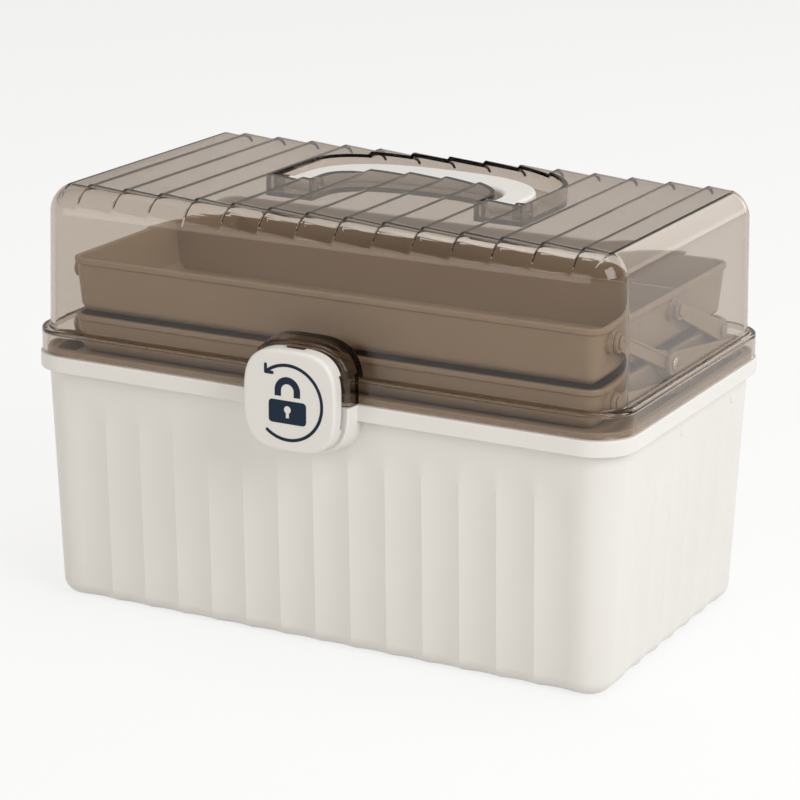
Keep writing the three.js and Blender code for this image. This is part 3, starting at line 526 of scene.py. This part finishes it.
def make_tub():
    turn = np.linspace(0, math.pi / 2, 10)
    height = TUB.foot_round * (1 - np.cos(turn))
    foot_line = tub_inset(height) + TUB.foot_round * (1 - np.sin(turn))
    foot = np.stack([foot_line, height, np.ones(len(turn))], axis=1)
    fading = np.linspace(flute_low, flute_high, 9)
    height = np.concatenate([TUB.rings, fading, [rim_under, RIM.top - RIM.plate]])
    fade = np.clip((height - flute_low) / (flute_high - flute_low), 0, 1)
    wall = np.stack([tub_inset(height), height, 1 - fade * fade * (3 - 2 * fade)], axis=1)
    foot_inset = TUB.step + TUB.draft + TUB.wall
    rest = eased(
        [
            (RIM.skirt, RIM.top - RIM.plate, 0),
            (RIM.skirt, rim_under, RIM.soft_skirt),
            (0, rim_under, RIM.soft_under),
            (0, RIM.top, RIM.soft_top),
            (wall_inset, RIM.top, RIM.soft_mouth),
            (wall_inset, rim_under, 0),
            (foot_inset, TUB.floor + TUB.inside_round, TUB.soft_inside),
            (foot_inset + TUB.inside_round, TUB.floor, 0),
        ]
    )
    rest = np.concatenate([rest, np.zeros((len(rest), 1))], axis=1)
    front = flute_stations(FLUTE.front_count) * FLUTE.front_pitch
    end = FLUTE.end_shift + flute_stations(FLUTE.end_count) * FLUTE.end_pitch
    profile = np.concatenate([foot, wall, rest])
    body = loft(swept(RIM, profile, steps=16, dent=flute_dent, front=front, end=end))

    hollow = [
        (foot_inset + TUB.inside_round, TUB.floor),
        (foot_inset, TUB.floor + TUB.inside_round),
        (wall_inset, rim_under),
        (wall_inset, RIM.top + OVER),
    ]
    above = lambda z: block((-RIM.length, RIM.length), (-RIM.length, 0), (z, RIM.top + RIM.top))
    inside = loft(swept(RIM, hollow))
    pad = formed(pad_block(0, -RIM.width + wall_inset, pad_face), cuts=[above(RIM.top), inside])
    pocket = formed(
        pad_block(-PAD.wall, -RIM.width + PAD.pocket, pad_face + PAD.wall), cuts=[above(rim_under - OVER)]
    )
    tongue = rod_y(TONGUE.radius, (pad_face, pad_face + TONGUE.thick), 0, knob_z)
    hole = rod_y(HUB.stem + SEAT, (pad_face - OVER, pad_face + TONGUE.thick + OVER), 0, knob_z)
    shell = formed(body, joined=[pad], cuts=[pocket])
    knuckles = []
    near = HINGE.lid_half + RUN
    for sign in (-1, 1):
        for low, high in ((near, knuckle_end), (-knuckle_end, -near)):
            place = (sign * hinge_x + low, sign * hinge_x + high)
            web = block(place, (RIM.width - OVER, hinge_y), (hinge_z - HINGE.radius, RIM.top - SEAT))
            knuckles += [rod_x(HINGE.radius, place, (hinge_y, hinge_z), edge=HINGE.edge), web]
    whole = formed(shell, joined=[tongue, *knuckles, *dimples()], cuts=[hole, *hinge_bores()])
    finish("fluted_tub", whole, "base_tub", sharp=20)


def dimples():
    """Four low domes high on the ends."""
    height = RIM.top - DIMPLE.below
    turn = np.linspace(0, math.pi / 2, 10)[:-1]
    face = RIM.length - tub_inset(height)
    dome = np.stack([face + DIMPLE.height * np.sin(turn), DIMPLE.radius * np.cos(turn)], axis=1)
    line = np.concatenate([[(face - OVER, DIMPLE.radius)], dome])
    places = (DIMPLE.shift - DIMPLE.spread / 2, DIMPLE.shift + DIMPLE.spread / 2)
    return [turned_x(line, sign, (place, height)) for sign in (-1, 1) for place in places]


def hinge_bores():
    reach = knuckle_end + OVER
    return [
        rod_x(HINGE.pin + SEAT, (sign * hinge_x - reach, sign * hinge_x + reach), (hinge_y, hinge_z))
        for sign in (-1, 1)
    ]


# The ring with the arms' lugs

def pin_end(face):
    return face - PIN.bite - SEAT


def make_frame():
    flat = lambda inset, low, high: loft(swept(RIM, [(inset, low), (inset, high)]))
    body = loft(
        swept(
            RIM,
            eased(
                [
                    (frame_outer, frame_bottom, 0),
                    (frame_outer, shelf_under, FRAME.soft_neck),
                    (FRAME.rim_inset, shelf_under, FRAME.soft_rim),
                    (FRAME.rim_inset, lip_top, FRAME.soft_lip),
                    (FRAME.rim_inset + FRAME.lip, lip_top, FRAME.soft_lip),
                    (FRAME.rim_inset + FRAME.lip, shelf_top, FRAME.soft_shelf),
                    (frame_inner, shelf_top, FRAME.soft_shelf),
                    (frame_inner, deck_top, FRAME.soft_lip),
                    (frame_inner + FRAME.deck_start, deck_top, 0),
                ]
            ),
        )
    )
    mouth = loft(swept(mouth_plan, [(0, frame_bottom - OVER), (0, lip_top)]))
    between = block(
        (-channel_wall, channel_wall), (-RIM.width, RIM.width), (frame_bottom - OVER - OVER, deck_top)
    )
    under = formed(flat(frame_inner, frame_bottom - OVER, deck_top - FRAME.deck), common=[between])
    cuts = [mouth, under]
    near = channel_wall + FRAME.wall
    for sign in (-1, 1):
        channel = block(
            limits(sign, near, RIM.length),
            (FRAME.channel_front - RIM.width, RIM.width - FRAME.channel_back),
            (channel_top, lip_top),
        )
        cuts.append(formed(channel, common=[flat(frame_inner, channel_top - OVER, lip_top + OVER)]))
        for start, end in (
            (lower_front[0] + FRAME.slot_front, frame_front[0] - FRAME.slot_pivot),
            (frame_front[0] + FRAME.slot_back, frame_rear[0] - FRAME.slot_back),
        ):
            place = limits(sign, near + OVER, near + OVER + FRAME.slot_width)
            cuts.append(block(place, (start, end), (frame_bottom - OVER, channel_top + OVER)))
    ring = formed(body, cuts=cuts)
    lugs, bores = [], []
    for sign in (-1, 1):
        for pivot, face in ((frame_front, boss_face), (frame_rear, inner_arm + ARM.thick)):
            place = limits(sign, tray_plan.length - LUG.root, face)
            side = (pivot[0] - LUG.web / 2, pivot[0] + LUG.web / 2)
            web = block(place, side, (frame_bottom, pivot[1]))
            lugs += [rod_x(LUG.radius, place, pivot, edge=LUG.edge), web]
            bores.append(rod_x(PIN.radius + SEAT, limits(sign, pin_end(face), outer_arm), pivot))
    finish("tray_ring", formed(formed(ring, joined=lugs), cuts=bores), "tier_frame")


# The trays, the arms and their pins

def make_tray(name, node, bottom, height, pivots, divider=False):
    top = bottom + height
    inset = lambda z: TRAY.bead + (TRAY.draft - TRAY.bead) * (top - z) / height
    low = top - TRAY.bead_height
    outside = [
        (TRAY.draft + TRAY.foot_round, bottom, TRAY.soft_bottom),
        (inset(bottom + TRAY.foot_round), bottom + TRAY.foot_round, TRAY.soft_side),
        (inset(low - TRAY.bead), low - TRAY.bead, TRAY.soft_neck),
        (0, low, TRAY.soft_bead),
        (0, top, TRAY.soft_top),
    ]
    inside = [
        (inset(top) + TRAY.wall, top, TRAY.soft_mouth),
        (inset(bottom) + TRAY.wall, bottom + TRAY.floor + TRAY.foot_round, TRAY.soft_side),
        (TRAY.draft + TRAY.wall + TRAY.foot_round, bottom + TRAY.floor, 0),
    ]
    start = (TRAY.draft + TRAY.foot_round + TRAY.floor_start, bottom, 0)
    whole = loft(swept(tray_plan, eased([start, *outside, *inside]), steps=12))
    joined = []
    if divider:
        solid = loft(swept(tray_plan, [(c[0] + TRAY.wall / 2, c[1]) for c in outside], steps=12))
        side = (TRAY.divider_y - TRAY.divider / 2, TRAY.divider_y + TRAY.divider / 2)
        wall = block((-tray_plan.length, tray_plan.length), side, (bottom + OVER, top - TRAY.divider_drop))
        joined.append(formed(wall, common=[solid]))
    bores = []
    for sign in (-1, 1):
        for pivot in pivots:
            root = tray_plan.length - BOSS.root
            step = boss_face - BOSS.step
            line = eased(
                [
                    (root, BOSS.radius, 0),
                    (step, BOSS.radius, BOSS.soft_step),
                    (step, BOSS.ring, 0),
                    (boss_face, BOSS.ring, BOSS.soft_face),
                    (boss_face, PIN.radius, 0),
                ]
            )
            joined.append(turned_x(line, sign, pivot))
            bores.append(rod_x(PIN.radius + SEAT, limits(sign, pin_end(boss_face), outer_arm), pivot))
    finish(name, formed(formed(whole, joined=joined), cuts=bores), node)


def arm_outline(start, stop, start_radius, stop_radius, start_half, stop_half, steps=28):
    """Two round ends and the straight edges between them, as (y, z)."""
    way = math.atan2(stop[1] - start[1], stop[0] - start[0])
    swing_start = math.asin(start_half / start_radius)
    swing_stop = math.asin(stop_half / stop_radius)
    first = np.linspace(way + swing_start, way - swing_start + 2 * math.pi, steps)
    second = np.linspace(way + math.pi + swing_stop, way + 3 * math.pi - swing_stop, steps)
    ends = ((first, start_radius, start), (second, stop_radius, stop))
    return np.concatenate([np.stack([np.cos(a), np.sin(a)], axis=1) * r + centre for a, r, centre in ends])


def make_arm(name, node, sign, outline, layer, pivots, groove=None):
    far = layer + ARM.thick
    cuts = [rod_x(PIN.radius + SEAT, limits(sign, layer - OVER, far + OVER), pivot) for pivot in pivots]
    if groove is not None:
        cuts.append(plate(groove, *limits(sign, far - ARM.groove, far + OVER), "X"))
    whole = formed(plate(outline, *limits(sign, layer, far), "X", ARM.edge, steps=3), cuts=cuts)
    finish(name, whole, node)


def make_arms():
    along = np.array(middle) - np.array(upper_front)
    along = along / np.linalg.norm(along)
    across = np.array([-along[1], along[0]]) * (ARM.slim - ARM.groove_rim)
    near = np.array(upper_front) + along * ARM.hub
    far = np.array(middle) - along * ARM.hub
    groove = [near - across, far - across, far + across, near + across]
    plans = {
        "upper_front_arm": (
            (upper_front, middle), (ARM.hub, ARM.hub, ARM.slim, ARM.slim), inner_arm, groove),
        "upper_rear_arm": (
            (upper_rear, lower_rear), (ARM.hub, ARM.broad, ARM.slim, ARM.hub), inner_arm, None),
        "lower_front_arm": (
            (lower_front, frame_front), (ARM.hub, ARM.frame_hub, ARM.slim, ARM.slim), inner_arm, None),
        "lower_rear_arm": (
            (middle, frame_rear), (ARM.wide, ARM.frame_hub, ARM.wide, ARM.frame_hub), outer_arm, None),
    }
    for node, (pivots, ends, layer, sunk) in plans.items():
        outline = arm_outline(*pivots, *ends)
        for side, sign in (("left", -1), ("right", 1)):
            make_arm(f"{node}_plate_{side}", f"{node}_{side}", sign, outline, layer, pivots, sunk)


def make_pins():
    inner_face = inner_arm + ARM.thick
    outer_face = outer_arm + ARM.thick
    places = {
        "upper_front_pin": (upper_front, boss_face, inner_face),
        "upper_rear_pin": (upper_rear, boss_face, inner_face),
        "middle_pin": (middle, boss_face, outer_face),
        "lower_front_pin": (lower_front, boss_face, inner_face),
        "lower_rear_pin": (lower_rear, boss_face, inner_face),
        "frame_front_pin": (frame_front, boss_face, inner_face),
        "frame_rear_pin": (frame_rear, inner_face, outer_face),
    }
    for node, (pivot, seat, face) in places.items():
        head = face + SEAT
        line = eased(
            [
                (seat - PIN.bite, PIN.radius, 0),
                (head, PIN.radius, 0),
                (head, PIN.head, PIN.soft_rim),
                (head + PIN.head_thick - PIN.dome, PIN.head, PIN.soft_side),
                (head + PIN.head_thick, PIN.head - PIN.dome - PIN.dome_run, PIN.soft_dome),
                (head + PIN.head_thick, PIN.flat, 0),
            ]
        )
        for side, sign in (("left", -1), ("right", 1)):
            finish(f"{node}_rivet_{side}", turned_x(line, sign, pivot), f"{node}_{side}")


# The lid. edge_turn holds the angles at which its rounded edges have points.

edge_turn = np.linspace(0, math.pi / 2, 17)


def recess_outline(grow):
    return bail(
        (recess_side + grow, recess_back + grow, recess_back * RECESS.bow + grow),
        (island_side - grow, island_back - grow, island_back * RECESS.island_bow - grow),
        RECESS.front - grow,
    )


def lid_profile(thick, ceiling, bottom, drop, ease):
    """One skin of the lid: the skirt, the shoulder, the wall and the rounded edge of the top."""
    wall_top = LID.wall_inset + LID.draft + thick
    edge = LID.edge - thick
    line = eased(
        [
            (LID.skirt_inset + thick, bottom, 0),
            (LID.skirt_inset + thick, shoulder - drop, ease),
            (LID.wall_inset + thick, shoulder - drop, ease),
            (wall_top, ceiling - edge, 0),
        ]
    )[:-1]
    inset = wall_top + edge * (1 - np.cos(edge_turn))
    height = ceiling - edge * (1 - np.sin(edge_turn))
    return np.concatenate([line, np.stack([inset, height], axis=1)])


def rib_tunnel(thick):
    """The ribs of one skin, as a tunnel to keep it inside. Each rib is a long slope and a short
    riser along X. At angle a round the front and back edges the tunnel's reach is
    edge + gap × cos a - dent × sin a, so the ribs fade out down the edges."""
    count = 2 * int(RIM.length // RIB.pitch) + 1
    start = (np.arange(count) - count / 2) * RIB.pitch
    along = np.stack([start, start + RIB.pitch - RIB.riser], axis=1).ravel()
    along = np.concatenate([[-RIM.length - OVER], along, [-start[0], RIM.length + OVER]])[:, None]
    dent = np.concatenate([[0], np.tile([RIB.crest_drop, RIB.depth], count), [0, 0]])[:, None]
    reach = LID.edge - thick + SEAT * np.cos(edge_turn) - dent * np.sin(edge_turn)
    y = RIM.width - LID.wall_inset - LID.draft - LID.edge + reach * np.cos(edge_turn)
    z = lid_top - LID.edge + reach * np.sin(edge_turn)
    one = np.ones_like(along)
    far = one * (RIM.width + PAD.proud + OVER)
    low = one * (lid_bottom - OVER - OVER)
    level = one * (lid_top - LID.edge)
    y = np.concatenate([-far, far, far, y, -y[:, ::-1], -far], axis=1)
    z = np.concatenate([low, low, level, z, z[:, ::-1], level], axis=1)
    return loft(np.stack([np.broadcast_to(along, y.shape), y, z], axis=-1))


def make_lid():
    outside = loft(swept(RIM, lid_profile(0, lid_top, lid_bottom, 0, LID.soft_outside), steps=20))
    inner = lid_profile(LID.wall, lid_top - LID.wall, lid_bottom - OVER, LID.wall, LID.soft_inside)
    inside = lambda: loft(swept(RIM, inner, steps=20))
    below = lambda z: block((-RIM.length, RIM.length), (-RIM.length, 0), (0, z))
    skirt_face = -RIM.width + LID.skirt_inset
    wall_face = -RIM.width + LID.wall_inset
    hood = formed(pad_block(0, -RIM.width + wall_inset, pad_face), cuts=[below(lid_bottom), inside()])
    hood_pocket = formed(
        pad_block(-PAD.wall, skirt_face - OVER, pad_face + PAD.wall), cuts=[below(lid_bottom - OVER)]
    )
    upper_pocket = formed(
        pad_block(-PAD.wall, wall_face - LID.wall, skirt_face - OVER - OVER),
        cuts=[below(shoulder + LID.wall)],
    )
    slot = rod_y(TONGUE.radius + RUN, (pad_face - OVER, pad_face + PAD.wall + OVER), 0, knob_z)
    casing = plate(recess_outline(RECESS.floor), recess_floor - RECESS.floor, lid_top - RIB.depth, "Z")
    pocket = plate(recess_outline(0), recess_floor, lid_top + OVER, "Z")
    room = formed(inside(), cuts=[casing], common=[rib_tunnel(LID.wall)])
    ribbed = formed(outside, joined=[hood], common=[rib_tunnel(0)])
    whole = formed(ribbed, cuts=[room, pocket, hood_pocket, upper_pocket, slot])
    joined, bores = [], hinge_bores()
    for sign in (-1, 1):
        across = (pad_face - OVER, pad_face + PAD.wall + OVER)
        peg_x, peg_z = sign * KEEPER.peg_spread / 2, keeper_top - KEEPER.peg_drop
        bores.append(rod_y(KEEPER.peg + SEAT, across, peg_x, peg_z))
        for near, far in ((island_side - OVER, leg_inner - SEAT), (HANDLE.width + SEAT, recess_side + OVER)):
            place = limits(sign, near, far)
            side = (-HANDLE.bracket, HANDLE.bracket)
            joined += [
                rod_x(HANDLE.bracket, place, (0, eye_z), edge=HANDLE.bracket_edge),
                block(place, side, (recess_floor - RECESS.floor / 2, eye_z)),
            ]
        reach = limits(sign, leg_inner - HANDLE.pin_bite - SEAT, HANDLE.width + HANDLE.pin_bite + SEAT)
        bores.append(rod_x(HANDLE.pin + SEAT, reach, (0, eye_z)))
        place = (sign * hinge_x - HINGE.lid_half, sign * hinge_x + HINGE.lid_half)
        web = (RIM.width - LID.skirt_inset - OVER, hinge_y)
        joined += [
            rod_x(HINGE.radius, place, (hinge_y, hinge_z), edge=HINGE.edge),
            block(place, web, (lid_bottom, hinge_z + HINGE.radius)),
        ]
    finish("domed_lid", formed(formed(whole, joined=joined), cuts=bores), "lid_shell")


# The handle

def make_handle():
    low = eye_z - HANDLE.eye
    outline = bail(
        (HANDLE.width - SEAT, handle_back, handle_back * HANDLE.bow),
        (leg_inner + SEAT, handle_inner, handle_inner * HANDLE.inner_bow),
        0,
    )
    grip = plate(outline, low, low + HANDLE.thick, "Z", HANDLE.edge, steps=6)
    eyes, bores = [], []
    for sign in (-1, 1):
        near, far = limits(sign, leg_inner + SEAT, HANDLE.width - SEAT)
        eyes.append(rod_x(HANDLE.eye, (near, far), (0, eye_z), edge=HANDLE.eye_edge))
        bores.append(rod_x(HANDLE.pin + SEAT, (near - OVER, far + OVER), (0, eye_z)))
    finish("bail_handle", formed(formed(grip, joined=eyes), cuts=bores), "carry_handle")


# The knob and the marks on its face

def make_knob():
    outer = eased(
        [
            (KNOB.half - KNOB.back_in, knob_back, 0),
            (KNOB.half, knob_back - KNOB.back_step, KNOB.soft_back),
            (KNOB.half, knob_front, KNOB.edge),
            (KNOB.half - KNOB.edge - OVER, knob_front, 0),
        ],
        steps=8,
    )
    inner = KNOB.half - KNOB.wall
    core = KNOB.half - KNOB.notch_in
    rebate = formed(
        block(
            (0, KNOB.half + OVER),
            (knob_back - KNOB.notch_depth, knob_back + OVER),
            (knob_z + KNOB.notch_low, knob_z + KNOB.notch_high),
        ),
        cuts=[loft([squircle(core, knob_back + OVER + OVER), squircle(core, knob_front)])],
    )
    cap = formed(
        loft([squircle(half, y) for half, y in outer]),
        cuts=[
            loft([squircle(inner, knob_back + OVER), squircle(inner, knob_front + KNOB.face)]),
            block(
                (-KEEPER.half - KEEPER.play, KEEPER.half + KEEPER.play),
                (pad_face - KEEPER.reach - RUN, knob_back + OVER),
                (knob_z, knob_z + KNOB.half + OVER),
            ),
            rebate,
        ],
    )
    finish("squared_knob", cap, "knob_cap")


def stroke(line, width):
    """A closed outline round an open line, with round ends."""
    line = np.asarray(line, float)
    way = np.gradient(line, axis=0)
    way /= np.linalg.norm(way, axis=1)[:, None]
    side = np.stack([-way[:, 1], way[:, 0]], axis=1) * width / 2
    turn = np.linspace(0, math.pi, 9)[1:-1, None]
    start = line[0] + side[0] * np.cos(turn) - way[0] * np.sin(turn) * width / 2
    end = line[-1] - side[-1] * np.cos(turn) + way[-1] * np.sin(turn) * width / 2
    return np.concatenate([line - side, end, (line + side)[::-1], start])


def make_marks():
    """A turn arrow round a padlock, as thin plates on the knob's face."""
    back, front = knob_front + MARK.sunk, knob_front - MARK.thick

    def raised(outline):
        """A thin plate from (x, z) about the knob's axis, anticlockwise from the front."""
        return plate(np.asarray(outline, float)[::-1, ::-1] + (knob_z, 0), front, back, "Y")

    def printed(name, mesh):
        finish(name, mesh, "knob_cap", print_ink=ink)

    angle = np.radians(np.linspace(MARK.start, MARK.end, 90))
    arc = np.stack([np.cos(angle), np.sin(angle)], axis=1) * MARK.radius + (MARK.centre_x, MARK.centre_z)
    tip = arc[-1]
    barbs = [raised(stroke([tip, tip + way], MARK.width)) for way in ((0, MARK.barb), (MARK.barb, 0))]
    printed("turn_arrow_print", formed(raised(stroke(arc, MARK.width)), joined=barbs))

    half_turn = np.linspace(0, math.pi, 40)
    over = np.stack([np.cos(half_turn), np.sin(half_turn)], axis=1)
    centre = (SHACKLE.x, SHACKLE.z)
    shackle = np.concatenate(
        [
            [(SHACKLE.x + SHACKLE.outer, SHACKLE.foot)],
            over * SHACKLE.outer + centre,
            [(SHACKLE.x - SHACKLE.outer, SHACKLE.foot), (SHACKLE.x - SHACKLE.inner, SHACKLE.foot)],
            over[::-1] * SHACKLE.inner + centre,
            [(SHACKLE.x + SHACKLE.inner, SHACKLE.foot)],
        ]
    )
    case = eased(
        [
            (0, LOCK.bottom, 0),
            (LOCK.half, LOCK.bottom, LOCK.corner),
            (LOCK.half, LOCK.top, LOCK.corner),
            (-LOCK.half, LOCK.top, LOCK.corner),
            (-LOCK.half, LOCK.bottom, LOCK.corner),
            (0, LOCK.bottom, 0),
        ],
        steps=8,
    )[:-1]
    across = (knob_front - OVER, knob_front + OVER)
    hole = rod_y(LOCK.hole, across, SHACKLE.x, knob_z + LOCK.hole_z)
    slit = block(
        (SHACKLE.x - LOCK.slit, SHACKLE.x + LOCK.slit),
        across,
        (knob_z + LOCK.slit_foot, knob_z + LOCK.hole_z),
    )
    plain = formed(raised(case + (SHACKLE.x, 0)), cuts=[hole, slit])
    printed("padlock_print", formed(raised(shackle), joined=[plain]))


make_tub()
make_frame()
make_tray("lower_tray_dish", "lower_tray", lower_bottom, TRAY.lower, [middle, lower_front, lower_rear])
make_tray("upper_tray_dish", "upper_tray", upper_bottom, TRAY.upper, [upper_front, upper_rear], divider=True)
make_arms()
make_pins()
make_lid()
make_handle()
make_knob()
make_marks()


# Stage, light and camera, in metres

FLOOR = Size(
    flat=5.0, bend=1.0, level=-0.0002, steps=12, count=96, colour=(0.8, 0.78, 0.75), rough=0.9,
    glow=0.77, dim=0.2,
)
ROOM = (0.47, 0.45, 0.425)
AIM = (0, 0, 0.1)
PHOTO = Size(
    azimuth=27.576, elevation=16.467, roll=0.519, target=(0.796, 0.449, 105.243), distance=1494.18,
    focal_pixels=2905.97, width_pixels=800, sensor=36,
)


def studio_floor():
    """A pale round floor that turns up at its far edge into a low backdrop. The camera, glossy
    pieces and clear plastic show it near white, with the box's own soft shadow kept."""
    made, tree, shader, output = material("studio_floor")
    shader.inputs["Base Color"].default_value = (*FLOOR.colour, 1)
    shader.inputs["Roughness"].default_value = FLOOR.rough
    shader.inputs["Specular IOR Level"].default_value = 0
    glow = tree.nodes.new("ShaderNodeEmission")
    glow.inputs["Strength"].default_value = FLOOR.glow
    dim = tree.nodes.new("ShaderNodeBsdfDiffuse")
    dim.inputs["Color"].default_value = (FLOOR.dim, FLOOR.dim, FLOOR.dim, 1)
    seen = tree.nodes.new("ShaderNodeAddShader")
    tree.links.new(glow.outputs["Emission"], seen.inputs[0])
    tree.links.new(dim.outputs["BSDF"], seen.inputs[1])
    mix = tree.nodes.new("ShaderNodeMixShader")
    tree.links.new(sight(tree), mix.inputs["Fac"])
    tree.links.new(shader.outputs["BSDF"], mix.inputs[1])
    tree.links.new(seen.outputs["Shader"], mix.inputs[2])
    tree.links.new(mix.outputs["Shader"], output.inputs["Surface"])
    count = FLOOR.count
    points = []
    for angle in np.linspace(0, math.pi / 2, FLOOR.steps + 1):
        height = FLOOR.level + FLOOR.bend * (1 - math.cos(angle))
        reach = FLOOR.flat + FLOOR.bend * math.sin(angle)
        points += [(*point, height) for point in circle(reach, (0, 0), count)]
    faces = [tuple(range(count))]
    for start in range(0, FLOOR.steps * count, count):
        for near in range(count):
            far = (near + 1) % count
            faces.append((start + near, start + count + near, start + count + far, start + far))
    sweep = bpy.data.meshes.new("studio_floor")
    sweep.from_pydata(points, [], faces)
    sweep.materials.append(made)
    sweep.shade_smooth()
    floor = bpy.data.objects.new("studio_floor", sweep)
    bpy.context.scene.collection.objects.link(floor)


def sight(tree):
    """1 for rays from the camera, mirrored by glossy pieces, or passed on by clear plastic."""
    path = tree.nodes.new("ShaderNodeLightPath")
    seen = path.outputs["Is Camera Ray"]
    for other in ("Is Glossy Ray", "Is Transmission Ray"):
        either = tree.nodes.new("ShaderNodeMath")
        either.operation = "MAXIMUM"
        tree.links.new(seen, either.inputs[0])
        tree.links.new(path.outputs[other], either.inputs[1])
        seen = either.outputs[0]
    return seen


def studio_world():
    """A plain warm grey room above the backdrop."""
    world = bpy.data.worlds.new("studio")
    bpy.context.scene.world = world
    world.use_nodes = True
    world.node_tree.nodes["Background"].inputs["Color"].default_value = (*ROOM, 1)


def softbox(name, place, size, watts, colour=(1, 1, 1)):
    """An area lamp that faces the middle of the box."""
    lamp = bpy.data.lights.new(name, "AREA")
    lamp.shape = "RECTANGLE"
    lamp.size, lamp.size_y = size
    lamp.energy = watts
    lamp.color = colour
    made = bpy.data.objects.new(name, lamp)
    bpy.context.scene.collection.objects.link(made)
    made.location = place
    made.rotation_mode = "QUATERNION"
    made.rotation_quaternion = (Vector(AIM) - Vector(place)).to_track_quat("-Z", "Y")


def camera():
    """The photograph's camera. Its angles, target, distance and focal length were solved from the
    box's own corners, with target and distance in millimetres."""
    azimuth, elevation, roll = (math.radians(a) for a in (PHOTO.azimuth, PHOTO.elevation, PHOTO.roll))
    back = Vector(
        (
            math.sin(azimuth) * math.cos(elevation),
            -math.cos(azimuth) * math.cos(elevation),
            math.sin(elevation),
        )
    )
    right = Vector((math.cos(azimuth), math.sin(azimuth), 0))
    up = back.cross(right)
    across = right * math.cos(roll) + up * math.sin(roll)
    upright = up * math.cos(roll) - right * math.sin(roll)
    place = Vector(PHOTO.target) * MM + back * (PHOTO.distance * MM)
    data = bpy.data.cameras.new("camera")
    data.sensor_width = PHOTO.sensor
    data.lens = PHOTO.focal_pixels / PHOTO.width_pixels * PHOTO.sensor
    data.clip_start, data.clip_end = 0.1, 20
    made = bpy.data.objects.new("camera", data)
    bpy.context.scene.collection.objects.link(made)
    turned = Matrix((across, upright, back)).transposed().to_4x4()
    made.matrix_world = Matrix.Translation(place) @ turned
    bpy.context.scene.camera = made


bpy.context.scene.view_settings.view_transform = "Standard"
studio_floor()
studio_world()
softbox("key", (1.5, -0.6, 1.1), (1.0, 1.2), 18.5, (0.96, 0.98, 1))
softbox("top", (0.1, 0.2, 1.6), (1.2, 0.8), 6)
softbox("front", (-0.7, -1.7, 0.5), (1.2, 1.0), 6, (1, 0.96, 0.9))
softbox("back", (1.0, 1.7, 0.8), (1.9, 1.2), 9, (1, 0.98, 0.95))
camera()
